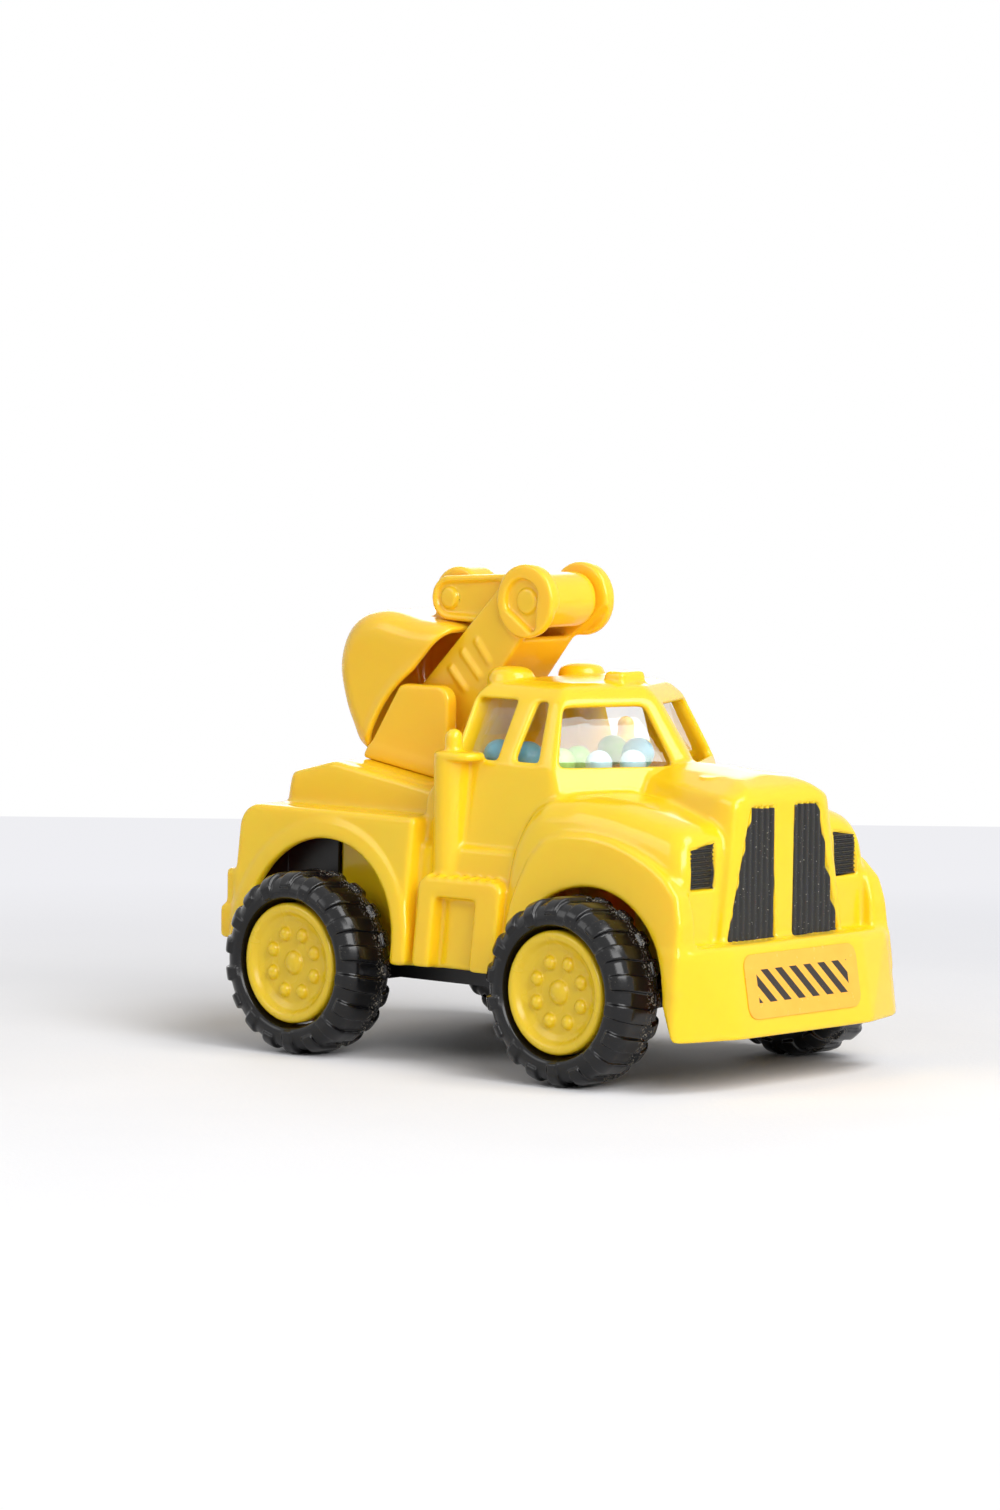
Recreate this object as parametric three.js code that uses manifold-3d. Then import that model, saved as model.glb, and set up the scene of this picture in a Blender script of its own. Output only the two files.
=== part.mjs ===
// Toy digger truck: a moulded plastic truck, filled with sweets, that carries a folding digger arm.
// Millimetres. X runs forward, Y to the truck's left and Z up.
// Inside the file X is measured from the rear axle; the last group moves the origin under the middle.
import * as THREE from 'three';
import { mergeVertices } from 'three/addons/utils/BufferGeometryUtils.js';
import { ConvexGeometry } from 'three/addons/geometries/ConvexGeometry.js';
import Module from 'manifold-3d';

const wasm = await Module();
wasm.setup();

// Driving sizes
const WHEELBASE = 67.3;
const FRONT_END = 96.4;
const REAR_END = -25.9;
const MIDDLE_X = (FRONT_END + REAR_END) / 2;
const WALL = 1.6;
const GAP = 0.3;
const FAR = 60;
const DEEP = -5;
const NEAR_MIDDLE = 0.01;
const SIDES = [-1, 1];
const ENDS = [['rear', 0], ['front', WHEELBASE]];
const HANDS = [['right', -1], ['left', 1]];

// Wheels: radii, and distances out from the truck's middle
const TYRE_RADIUS = 17;
const TYRE_GROOVE = 0.9;
const TYRE_LUGS = 18;
const TYRE_SHOULDER = 0.25;
const TYRE_OUTER = 39.4;
const TYRE_INNER = 25.8;
const LUG_TOP = [0.06, 0.64];
const LUG_FOOT = [0.7, 1];
const HUB_RADIUS = 11.7;
const HUB_OUTER = 38.5;
const HUB_INNER = 30;
const HUB_NECK_RADIUS = 4;
const HUB_RIM_INNER = 9.4;
const HUB_WEB_BACK = 4.6;
const HUB_RIM_BACK = 0.6;
const HUB_DISH = [[10.3, 0], [9.6, 1.2], [8.9, 1.9], [3, 2.2], [2.3, 0.9], [0, 0.9]];
const BOLT_COUNT = 8;
const BOLT_CIRCLE = 6.3;
const BOLT_RADIUS = 1.15;
const BOLT_TAPER = 0.8;
const BOLT_HEIGHT = 1.6;
const BOLT_DEPTH = 1.9;
const AXLE_RADIUS = 1.5;
const AXLE_HALF_LENGTH = 36;
const AXLE_CLEARANCE = 0.25;
const AXLE_FIT = 0.15;

// Body: the sides lean in by the same draft from the bumper to the top of the fenders
const SIDE_HALF = 33.6;
const SIDE_HALF_AT = 9.5;
const SIDE_DRAFT = 0.124;
const SKIN_INNER = 26;
const BODY_LOW = 18;
const REAR_FACE = -21.5;
const REAR_TOP = 46;
const REAR_FRONT = 23;
const REAR_CORNER = 4.5;
const REAR_STEP_LOW = 21.4;
const REAR_STEPS = [{ x: -24.6, half: 30.6, top: 33.2 }, { x: REAR_END, half: 31.4, top: 26 }];
const REAR_ARCH = { x: 1, z: 21.2, radius: 19.3, depthFrom: 10 };
const FRONT_ARCH = { x: 67.8, z: 16, radius: 20, depthFrom: 22, toe: 90.8 };
const LIP_WIDTH = 3.8;
const LIP_PROUD = 0.6;

// Deck behind the cab: it falls forward from a ridge near the back
const DECK_HALF = 22;
const DECK_REAR = -18.4;
const DECK_FRONT = REAR_FRONT + 4;
const DECK_CORNER = 3.5;
const DECK_RIDGE = { x: -5.2, z: 54.7 };
const DECK_SLOPE = -0.1565;
const DECK_HEEL = { run: 2.4, low: 45, top: 52 };
const DECK_FLOOR = 44;
const DECK_HOLLOW_FLOOR = 40;
const PAD_HALF = 18.5;
const PAD_HEIGHT = 0.8;
const PAD_REAR = DECK_RIDGE.x + 0.6;
const PAD_FRONT = 16.5;

// Cab: a vee front in plan, a rocker below the doors and a glass house above the sill
const SILL = 57.3;
const CAB = { rear: 24, corner: 53.2, apex: 67.4, half: 23.6 };
const ROCKER = { rear: 22, front: 49, inset: 3, top: 41 };
const ROOF_TOP = 72.2;
const HOUSE_RINGS = [
  { z: SILL - 3, rear: [27.3, 23.7], corner: [53.2, 23.9], apex: 67.6 },
  { z: SILL + 0.4, rear: [27.5, 23.4], corner: [53.1, 23.6], apex: 67.2 },
  { z: 69.5, rear: [28.2, 18], corner: [50.2, 17.8], apex: 58.4, roof: true },
  { z: 71, rear: [28.9, 16.9], corner: [49.5, 16.7], apex: 57.2, roof: true },
  { z: ROOF_TOP, rear: [31.5, 13.6], corner: [47.8, 13.4], apex: 53.5, roof: true },
];
const QUARTER_WINDOW = [[30.6, 58.2], [38.4, 58.2], [39.2, 68.4], [30.2, 68.4]];
const NARROW_WINDOW = [[43.4, 58.2], [48.8, 58.2], [46.8, 68.2], [44.4, 68.2]];
const WINDOW_DEPTH = [12, 23.4];
const SCREEN_CORNERS = [[54.8, 22.4, 58], [65, 3.5, 57.6], [51.6, 17.6, 67.8], [57.6, 3.1, 67.6]];
const SCREEN_REACH = [6, 3, 3];
const ROOF_LAMP = { x: 31.6, y: 10.3, z: 71.5 };
const ROOF_LAMP_PROFILE = [[0, 0], [4.7, 0], [4.7, 1.5], [3.9, 2.6], [2.4, 3], [0, 3]];
const ROOF_BLOCK = { rear: 48.2, front: 53, half: 3.7, low: 71, top: 74.2 };
const COWL_BAR = { plan: [[54.6, 21.2], [55.4, 24.5], [70.8, 20.4], [70.2, 17]], low: 53.6, top: 56.4 };

// Stack column, cap and stack behind each door, and the step between the wheels
const STACK_Y = 25.2;
const COLUMN = { x: 29.3, radius: 3.5, low: 33, top: 57.6 };
const STACK_CAP = { rear: 29.4, front: 32.8, radius: 3.7, low: 57.2, top: 58.9 };
const STACK = { x: 29.7, radius: 1.7, low: 58, top: 63.2 };
const STEP = { rear: 25.4, front: 46.4, top: 35.2, corner: 1.4, inner: 24 };
const STEP_RECESS = { rear: 30, front: 40, inner: 28.2, top: 31.4 };

// Bonnet, fenders and bumper
const HOOD_LOW = 24;
const HOOD_TOP_POINTS = [[50, 23.4, SILL], [60, 10, SILL + 0.6], [76, 7, SILL + 0.2], [85, 8, 56],
  [88.8, 9.5, 54.6], [90.2, 11, 52.6], [89.4, 13.9, 52.6], [86, 14.4, 54]];
const HOOD_FOOT_POINTS = [[50, 26], [90.4, 18.4]];
const NOSE_FACE = 90.3;
const GRILLE_DEPTH = 0.9;
const GRILLE = [[2.6, 27.6], [16.2, 27.6], [9.8, 51], [3, 51]];
const LAMP = [[17.9, 37], [24, 37], [23.6, 44], [17.6, 45]];
const LAMP_FLOOR = 87.2;
const LAMP_FRONT = 92;
const FENDER_LOW = 20;
const FENDER_INNER = 10;
const FENDER_FLARE = 2;
const FENDER_SECTIONS = [[46.2, 40, 28.8], [47.6, 45.6, 28.8], [50, 49.4, 28.7], [54, 52, 28.6],
  [62, 52.5, 28.6], [71, 51.5, 28.4], [79, 49.8, 28], [85, 48.3, 27.6], [87.4, 46.6, 27.2],
  [88.2, 43.6, 26.8]];
const SHOULDER = [[7, 0], [3, 1.1], [0.9, 3.6], [0, 7.5]];
const FLARE_CREASE = [[47, BODY_LOW], [47.3, 24], [48.6, 31.4], [50.3, 36], [52.4, 40.4], [55.6, 43.8],
  [60, 45.3], [66, 45.6], [72, 44.9], [77.4, 43.3], [82, 41.4], [86, 39], [89.4, 35.6], [90.6, 31],
  [91, BODY_LOW]];
const FLARE_RANGE = { low: 15, top: 46, rear: 40, front: 95 };
const BUMPER_LOW = 9.1;
const BUMPER_TOP = 27.3;
const BUMPER_EDGE = 1.2;
const BUMPER_BACK = 86;
const BUMPER_FLAT = 19.5;
const BUMPER_CORNER = { run: 1.6, width: 3 };
const BUMPER_RINGS = [
  { front: FRONT_END, corner: 91.4, half: 33.6 },
  { front: 93.6, corner: 90.6, half: 31.6 },
  { front: 92.4, corner: 89.6, half: 30.6 },
];
const LABEL = { half: 16.6, low: 12.6, top: 24.4, thick: 0.3, lift: 0.1 };

// Inside the body
const TRAY_RIBS = [33, 50];
const RIB_HALF = 23.6;
const RIB_THICK = 1.6;
const RIB_DEPTH = 4;
const TRAY_TOP = 54.2;
const TRAY_THICK = 1.2;
const TRAY_PLAN = [[64.6, 1], [52.8, 22], [29.4, 22]];
const GLAZING_THICK = 0.9;
const GLAZING_REAR = 30.6;
const GLAZING_LOW = SILL - 2.2;
const GLAZING_TOP = 68.9;
const BLUE = 0x4f9fbe;
const GREEN = 0x8fc64a;
const PALE = 0xa9d8e4;
const SWEETS = [
  { name: 'sweet_blue_rear', x: 33, y: -15.8, radius: 3.2, color: BLUE },
  { name: 'sweet_blue_middle', x: 40.2, y: -15.8, radius: 3.2, color: BLUE },
  { name: 'sweet_green', x: 47.4, y: -14.4, radius: 2.7, color: GREEN },
  { name: 'sweet_pale_front', x: 53.4, y: -10.6, radius: 2.6, color: PALE },
  { name: 'sweet_pale_middle', x: 56.6, y: -4.4, radius: 2.6, color: PALE },
  { name: 'sweet_green_middle', x: 44.6, y: -6.4, radius: 2.7, color: GREEN },
  { name: 'sweet_blue_left', x: 47.2, y: 8.2, radius: 3.2, color: BLUE },
  { name: 'sweet_green_left', x: 36.4, y: 13.4, radius: 3, color: GREEN },
];

// Chassis, its screws and the plug in its filling hole
const CHASSIS_HALF = 24.8;
const CHASSIS_TOP = 17.6;
const CHASSIS_LOW = 14.6;
const CHASSIS_PLAN = [[87.6, 17], [82, 22], [82, CHASSIS_HALF], [-16, CHASSIS_HALF], [-18.5, 22]];
const AXLE_BLOCK = { half: 24.2, outline: [[-4.4, CHASSIS_LOW + 1], [-3.4, 12.4], [3.4, 12.4],
  [4.4, CHASSIS_LOW + 1], [3, 21], [-3, 21]] };
const WHEEL_GUARD = { rear: -13.5, front: -0.4, thick: 1, top: 41 };
const SCREWS = [{ x: -11, y: -13, top: 51 }, { x: -11, y: 13, top: 51 }, { x: 78, y: -6, top: 56 },
  { x: 78, y: 6, top: 56 }];
const SCREW_RADIUS = 0.65;
const SCREW_HEAD = { radius: 1.25, crown: 0.9, height: 1.1, edge: 0.4, sink: 1.6, bore: 1.6 };
const SCREW_LENGTH = 5.8;
const SCREW_TIP = { radius: 0.2, length: 0.8 };
const POST_RADIUS = 2.6;
const POST_BORE_DEPTH = 6;
const HATCH = { x: 34, half: 11, width: 9 };
const PLUG_LIP = 2;
const PLUG_LID_LOW = CHASSIS_LOW - 1.4;
const PLUG_JOIN = CHASSIS_LOW - 1;

// Digger arm, in side view
const KNUCKLE = { x: 33, z: 86.9 };
const BUCKET_PIVOT = { x: 10.6, z: 86.5 };
const KNUCKLE_RADIUS = 7.1;
const BARREL_RADIUS = 4.8;
const TRUNNION_RADIUS = 2.4;
const TRUNNION_HALF = 7.4;
const BRACKET_HALF = 11.4;
const BRACKET_INNER = 8.7;
const BRACKET = { rear: -4.6, front: 19, top: 69.6, round: 3, backTop: 5.4, backRound: 1.4, backDrop: 0.4 };
const FOOT_THICK = 2.4;
const BOOM_HALF = 8;
const BOOM_INNER = 6.6;
const BOOM_LEAN = THREE.MathUtils.degToRad(51.6);
const BOOM_FRONT = 3.2;
const BOOM_FOOT = 32;
const BOOM_FOOT_REAR = -0.6;
const BOOM_FOOT_FRONT = 16.4;
const BOOM_FOOT_TOPS = { front: 61.3, rear: 63.6 };
const BOOM_WALL = 1.4;
const BOOM_FRONT_TOP = 7.4;
const BOOM_BACK_TOP = [15, 16];
const BOOM_BACK = { start: 7.1, spread: 0.12 };
const DISC_HALF = 9.4;
const DISC_POCKET = { back: 0.6, radius: 4.3, footX: 1.6, footZ: -4.6, footRadius: 1.2, depth: 1.3 };
const DISC_BOSS = { radius: 2.5, inset: 0.5, root: 0.2 };
const ROOT = 0.5;
const SLASHES = [[13, 73.3], [16, 76.6], [18.7, 78.9]];
const SLASH_RUN = [4.9, -4.8];
const SLASH_RADIUS = 0.8;
const SLASH_PROUD = 0.4;
const STICK_HALF = 6.2;
const STICK_ARM = 3.9;
const STICK_END_RADIUS = 4.1;
const STICK_RANGE = [70, 100];
const BUCKET_HALF = 13.2;
const BUCKET_WALL = 1.5;
const BUCKET_MIDDLE = { x: 3, z: 70 };
const BUCKET_OUTLINE = [[17.8, 76], [16.8, 80.2], [13, 81.7], [6, 82], [-2, 82.7], [-7, 81.4], [-10.6, 78.2],
  [-12.5, 73], [-11.6, 67], [-9.4, 61.5], [-5.6, 56.2], [6, 57.5]];
const BUCKET_RINGS = [[0, 1], [0.6, 1], [0.82, 0.985], [0.94, 0.94], [1, 0.87]];
const BUCKET_RIM = { x: 22.6, z: 48.6, radius: 28.2 };
const NOTCH_ROOM = 0.6;
const NOTCH_ABOVE = -5;
const LUG_HALF = 3.5;
const LUG_RADIUS = 6.1;
const LUG_NECK = { back: 1, z: 81, radius: 4.6 };
const PIVOT_RADIUS = 1.8;

// Finishes
const finish = (color, roughness) => new THREE.MeshStandardMaterial({ color, roughness, metalness: 0 });
const BODY_YELLOW = () => finish(0xf7d021, 0.25);
const ARM_YELLOW = () => finish(0xf9b81f, 0.3);
const HUB_YELLOW = () => finish(0xd9bd24, 0.35);
const TYRE_BLACK = () => finish(0x141416, 0.3);
const CHASSIS_BLACK = () => finish(0x111111, 0.45);
const LABEL_PAPER = () => finish(0xf6c04a, 0.4);
const STEEL = () => new THREE.MeshStandardMaterial({ color: 0xa9abad, roughness: 0.35, metalness: 1 });
const CLEAR = () => {
  const clear = finish(0xe8f0f2, 0.05);
  clear.transparent = true;
  clear.opacity = 0.3;
  return clear;
};

// Solids: a closed geometry becomes a manifold, and a manifold becomes a geometry again
function solid(geometry) {
  const bare = geometry.clone();
  bare.deleteAttribute('normal');
  bare.deleteAttribute('uv');
  const merged = mergeVertices(bare, 1e-5);
  const vertProperties = new Float32Array(merged.attributes.position.array);
  const triVerts = new Uint32Array(merged.index.array);
  return new wasm.Manifold(new wasm.Mesh({ numProp: 3, vertProperties, triVerts }));
}

function geometryOf(body) {
  const mesh = body.getMesh();
  const geometry = new THREE.BufferGeometry();
  geometry.setAttribute('position', new THREE.BufferAttribute(mesh.vertProperties, 3));
  geometry.setIndex(new THREE.BufferAttribute(mesh.triVerts, 1));
  geometry.computeVertexNormals();
  return geometry;
}

const join = (bodies) => bodies.reduce((sum, body) => sum.add(body));
const cut = (body, tools) => tools.reduce((rest, tool) => rest.subtract(tool), body);

// Outlines: lists of [a, b] points
function arc(centre, radius, from, to, steps) {
  const points = [];
  for (let i = 0; i <= steps; i += 1) {
    const angle = THREE.MathUtils.degToRad(from + (to - from) * i / steps);
    points.push([centre.x + radius * Math.cos(angle), centre.z + radius * Math.sin(angle)]);
  }
  return points;
}

const circle = (centre, radius, steps) => arc(centre, radius, 0, 360 - 360 / steps, steps - 1);
const mirrored = (points) => points.concat(points.map(([a, b]) => [a, -b]).reverse());
const flipped = (points, side) => points.map(([y, z]) => [side * y, z]);

// A capsule joins two round ends of different radius
function capsule(start, startRadius, end, endRadius, steps = 10) {
  const turn = THREE.MathUtils.radToDeg(Math.atan2(end.z - start.z, end.x - start.x));
  const back = arc(start, startRadius, turn + 90, turn + 270, steps);
  return back.concat(arc(end, endRadius, turn - 90, turn + 90, steps));
}

// A prism runs along one axis. Its outline holds [y, z], [x, z] or [x, y] points.
const AXES = {
  x: [new THREE.Vector3(0, 1, 0), new THREE.Vector3(0, 0, 1), new THREE.Vector3(1, 0, 0)],
  y: [new THREE.Vector3(1, 0, 0), new THREE.Vector3(0, 0, 1), new THREE.Vector3(0, -1, 0)],
  z: [new THREE.Vector3(1, 0, 0), new THREE.Vector3(0, 1, 0), new THREE.Vector3(0, 0, 1)],
};

function prism(axis, outline, from, to) {
  const shape = new THREE.Shape(outline.map(([a, b]) => new THREE.Vector2(a, b)));
  const low = Math.min(from, to);
  const high = Math.max(from, to);
  const geometry = new THREE.ExtrudeGeometry(shape, { depth: high - low, bevelEnabled: false });
  const start = axis === 'y' ? high : low;
  const place = new THREE.Matrix4().makeBasis(...AXES[axis]);
  place.setPosition(axis === 'x' ? start : 0, axis === 'y' ? start : 0, axis === 'z' ? start : 0);
  geometry.applyMatrix4(place);
  return solid(geometry);
}

const box = (x0, x1, y0, y1, z0, z1) => prism('z', [[x0, y0], [x1, y0], [x1, y1], [x0, y1]], z0, z1);
const hull = (points) => solid(new ConvexGeometry(points.map(([x, y, z]) => new THREE.Vector3(x, y, z))));
const bothSides = (points) => points.concat(points.map(([x, y, z]) => [x, -y, z]));
const rod = (centre, radius, from, to, steps = 20) => prism('y', circle(centre, radius, steps), from, to);
const post = ({ x, y }, radius, from, to, steps = 12) => (
  prism('z', circle({ x, z: y }, radius, steps), from, to));

// A turned solid about Z from [radius, height] points
function turned(profile, steps) {
  const points = profile.map(([r, z]) => new THREE.Vector2(r, z));
  return new THREE.LatheGeometry(points, steps).rotateX(Math.PI / 2);
}

const sideAt = (z) => SIDE_HALF - SIDE_DRAFT * (z - SIDE_HALF_AT);

// Drafted slab across the whole truck, thinner by an inset on its two sides
function draftedSlab(x0, x1, z0, z1, inset) {
  const low = sideAt(z0) - inset;
  const high = sideAt(z1) - inset;
  return prism('x', [[-low, z0], [low, z0], [high, z1], [-high, z1]], x0, x1);
}

// The body's masses. Each takes an inset and a floor, so the same form makes the skin and the hollow in it.
function rearBlock(inset, floor) {
  const rear = REAR_FACE + inset;
  const top = REAR_TOP - inset;
  const corner = { x: rear + REAR_CORNER, z: top - REAR_CORNER };
  const outline = [[rear, floor], [REAR_FRONT - inset, floor], [REAR_FRONT - inset, top]]
    .concat(arc(corner, REAR_CORNER, 90, 180, 4));
  return draftedSlab(REAR_FACE, REAR_FRONT, floor, REAR_TOP, inset).intersect(prism('y', outline, -FAR, FAR));
}

const rearBumper = () => REAR_STEPS.map(({ x, half, top }) => (
  box(x, REAR_FACE + 1, -half, half, REAR_STEP_LOW, top)));

const deckTop = (x) => DECK_RIDGE.z + DECK_SLOPE * (x - DECK_RIDGE.x);

function deck(inset, floor) {
  const rear = DECK_REAR + inset;
  const outline = [[rear, floor], [DECK_FRONT, floor], [DECK_FRONT, deckTop(DECK_FRONT) - inset],
    [DECK_RIDGE.x, DECK_RIDGE.z - inset], [rear + DECK_HEEL.run, DECK_HEEL.top - inset],
    [rear, DECK_HEEL.low]];
  const half = DECK_HALF - inset;
  const corner = { x: rear + DECK_CORNER, z: half - DECK_CORNER };
  const plan = mirrored([[DECK_FRONT, half]].concat(arc(corner, DECK_CORNER, 90, 180, 5)));
  return prism('y', outline, -half, half).intersect(prism('z', plan, floor, FAR));
}

function deckPad() {
  const outline = [[PAD_REAR, deckTop(PAD_REAR) - 1], [PAD_FRONT, deckTop(PAD_FRONT) - 1],
    [PAD_FRONT, deckTop(PAD_FRONT) + PAD_HEIGHT], [PAD_REAR, deckTop(PAD_REAR) + PAD_HEIGHT]];
  return prism('y', outline, -PAD_HALF, PAD_HALF);
}

function cab(inset, floor) {
  const half = (z) => CAB.half - inset + SIDE_DRAFT * (SILL - z);
  const ring = (z) => bothSides([[CAB.rear + inset, half(z), z], [CAB.corner, half(z), z],
    [CAB.apex - inset, NEAR_MIDDLE, z]]);
  return hull(ring(floor).concat(ring(SILL - inset)));
}

const rocker = (inset, floor) => (
  draftedSlab(ROCKER.rear + inset, ROCKER.front, floor, ROCKER.top - inset, inset + ROCKER.inset));

// The glass house: plan corners at the sill and at the roof's edge, then two smaller rings round the roof off
function greenhouse(inset) {
  const ring = ({ z, rear, corner, apex, roof }) => {
    const level = roof ? z - inset : z;
    return bothSides([[rear[0] + inset, rear[1] - inset, level],
      [corner[0] - inset, corner[1] - inset, level], [apex - inset, NEAR_MIDDLE, level]]);
  };
  return hull(HOUSE_RINGS.flatMap(ring));
}

function hood(inset, floor) {
  const top = HOOD_TOP_POINTS.map(([x, y, z]) => [x - inset, y - inset, z - inset]);
  const foot = HOOD_FOOT_POINTS.map(([x, y]) => [x - inset, y - inset, floor]);
  return hull(bothSides(top.concat(foot)));
}

// One front fender: sections [x, top, half width] whose outer shoulder rounds down from the top
function fender(side, inset, floor) {
  const points = [];
  FENDER_SECTIONS.forEach(([x, top, half], i) => {
    const along = x + (i < FENDER_SECTIONS.length / 2 ? inset : -inset);
    points.push([along, FENDER_INNER, top - inset], [along, FENDER_INNER, floor],
      [along, half + FENDER_FLARE - inset, floor]);
    SHOULDER.forEach(([back, drop]) => points.push([along, half - back - inset, top - drop - inset]));
  });
  return hull(points.map(([x, y, z]) => [x, side * y, z]));
}

// The wheel flare stands proud of the fender, out to the drafted side
function flare(side) {
  const { low, top, rear, front } = FLARE_RANGE;
  const band = [[SKIN_INNER, low], [sideAt(low), low], [sideAt(top), top], [SKIN_INNER, top]];
  const across = prism('x', flipped(band, side), rear, front);
  return prism('y', FLARE_CREASE, side * SKIN_INNER, side * FAR).intersect(across);
}

function bumper(inset, floor) {
  const levels = [floor, BUMPER_TOP - inset - BUMPER_EDGE, BUMPER_TOP - inset];
  const points = BUMPER_RINGS.flatMap(({ front, corner, half }, i) => bothSides([
    [BUMPER_BACK, half - inset, levels[i]], [corner - inset, half - inset, levels[i]],
    [corner + BUMPER_CORNER.run - inset, half - BUMPER_CORNER.width - inset, levels[i]],
    [front - inset, BUMPER_FLAT - inset, levels[i]]]));
  return hull(points);
}

// Round column with a cap and a short stack on each side behind the door
function stackColumn(side) {
  const y = side * STACK_Y;
  const column = post({ x: COLUMN.x, y }, COLUMN.radius, COLUMN.low, COLUMN.top, 16);
  const capPlan = capsule({ x: STACK_CAP.rear, z: y }, STACK_CAP.radius,
    { x: STACK_CAP.front, z: y }, STACK_CAP.radius, 8);
  const cap = prism('z', capPlan, STACK_CAP.low, STACK_CAP.top);
  return [column, cap, post({ x: STACK.x, y }, STACK.radius, STACK.low, STACK.top)];
}

// Step between the wheels: a frame round a shallow recess
function step(side) {
  const { rear, front, top, corner, inner } = STEP;
  const outline = [[rear, BODY_LOW], [front, BODY_LOW], [front, top - corner], [front - corner, top],
    [rear + corner, top], [rear, top - corner]];
  const face = prism('y', outline, side * inner, side * FAR);
  const recess = STEP_RECESS;
  return draftedSlab(rear, front, BODY_LOW, top, 0).intersect(face)
    .subtract(box(recess.rear, recess.front, side * recess.inner, side * FAR, 0, recess.top));
}

const roofLamp = (side) => solid(turned(ROOF_LAMP_PROFILE, 20)
  .translate(ROOF_LAMP.x, side * ROOF_LAMP.y, ROOF_LAMP.z));

function roofBlock() {
  const { rear, front, half, low, top } = ROOF_BLOCK;
  return box(rear, front, -half, half, low, top);
}

function cowlBar(side) {
  return prism('z', COWL_BAR.plan.map(([x, y]) => [x, side * y]), COWL_BAR.low, COWL_BAR.top);
}

function archCut(arch, side) {
  const front = arch.toe || arch.x + arch.radius;
  const outline = arc(arch, arch.radius, 0, 180, 18);
  outline.push([arch.x - arch.radius, DEEP], [front, DEEP], [front, BUMPER_LOW]);
  return prism('y', outline, side * arch.depthFrom, side * FAR);
}

// Raised lip round a rear wheel arch
function archLip(side) {
  const reach = REAR_ARCH.radius + LIP_WIDTH;
  const outer = arc(REAR_ARCH, reach, 0, 180, 18);
  outer.push([REAR_ARCH.x - reach, BODY_LOW], [REAR_ARCH.x + reach, BODY_LOW]);
  const low = sideAt(BODY_LOW) + LIP_PROUD;
  const high = sideAt(REAR_TOP) + LIP_PROUD;
  const band = [[SKIN_INNER, BODY_LOW], [low, BODY_LOW], [high, REAR_TOP], [SKIN_INNER, REAR_TOP]];
  const across = prism('x', flipped(band, side), -FAR / 2, FAR / 2);
  return prism('y', outer, side * SKIN_INNER, side * FAR).intersect(across);
}

// Window openings: two in each side and the two halves of a vee windscreen
function sideWindows(side) {
  return [QUARTER_WINDOW, NARROW_WINDOW].map((outline) => (
    prism('y', outline, side * WINDOW_DEPTH[0], side * WINDOW_DEPTH[1])));
}

function windscreen(side) {
  const [dx, dy, dz] = SCREEN_REACH;
  const moved = (way) => SCREEN_CORNERS.map(([x, y, z]) => (
    [x + way * dx, side * (y + way * dy), z + way * dz]));
  return hull(moved(1).concat(moved(-1)));
}

const grilleRecess = (side) => prism('x', flipped(GRILLE, side), NOSE_FACE - GRILLE_DEPTH, FRONT_END + FAR);
const lampRecess = (side) => prism('x', flipped(LAMP, side), LAMP_FLOOR, LAMP_FRONT);

// Ribs across the cab carry the sweet tray, and posts under the roof skin take the chassis screws
function trayRib(x) {
  const low = TRAY_TOP - RIB_DEPTH;
  return box(x - RIB_THICK / 2, x + RIB_THICK / 2, -RIB_HALF, RIB_HALF, low, TRAY_TOP - TRAY_THICK - GAP);
}

function screwPost(place) {
  const bore = post(place, SCREW_RADIUS + GAP, 0, BODY_LOW + POST_BORE_DEPTH, 8);
  return post(place, POST_RADIUS, BODY_LOW, place.top).subtract(bore);
}

// With no inset these are the outside; with one they are the hollow, which is open below
function masses(inset) {
  const skin = inset === 0;
  const floor = skin ? BODY_LOW : DEEP;
  const foot = (z) => (skin ? z : 0);
  return [rearBlock(inset, floor), deck(inset, skin ? DECK_FLOOR : DECK_HOLLOW_FLOOR), cab(inset, floor),
    rocker(inset, floor), greenhouse(inset), hood(inset, foot(HOOD_LOW)), bumper(inset, foot(BUMPER_LOW)),
    ...SIDES.map((side) => fender(side, inset, foot(FENDER_LOW)))];
}

function bodyShell() {
  const trim = [...rearBumper(), deckPad(), roofBlock()];
  SIDES.forEach((side) => {
    trim.push(flare(side), archLip(side), ...stackColumn(side), step(side), roofLamp(side), cowlBar(side));
  });
  const outside = join([...masses(0), ...trim]);
  const tools = masses(WALL);
  SIDES.forEach((side) => {
    tools.push(archCut(REAR_ARCH, side), archCut(FRONT_ARCH, side), ...sideWindows(side));
    tools.push(windscreen(side), grilleRecess(side), lampRecess(side));
  });
  return join([cut(outside, tools), ...TRAY_RIBS.map(trayRib), ...SCREWS.map(screwPost)]);
}

// Clear window insert, a thin box moulded to fit inside the glass house
function cabGlazing() {
  const outer = greenhouse(WALL + GAP);
  const inner = greenhouse(WALL + GAP + GLAZING_THICK);
  const reach = 2 * FAR;
  const behind = box(0, GLAZING_REAR, -FAR, FAR, 0, reach);
  const below = box(0, reach, -FAR, FAR, 0, GLAZING_LOW);
  const above = box(0, reach, -FAR, FAR, GLAZING_TOP, reach);
  return cut(outer, [inner, behind, below, above]);
}

// Sweets lie on a shallow tray just under the window sills
const sweetTray = () => prism('z', mirrored(TRAY_PLAN), TRAY_TOP - TRAY_THICK, TRAY_TOP);

function sweetBall({ x, y, radius }) {
  return new THREE.SphereGeometry(radius, 12, 8).translate(x, y, TRAY_TOP + GAP + radius);
}

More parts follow.
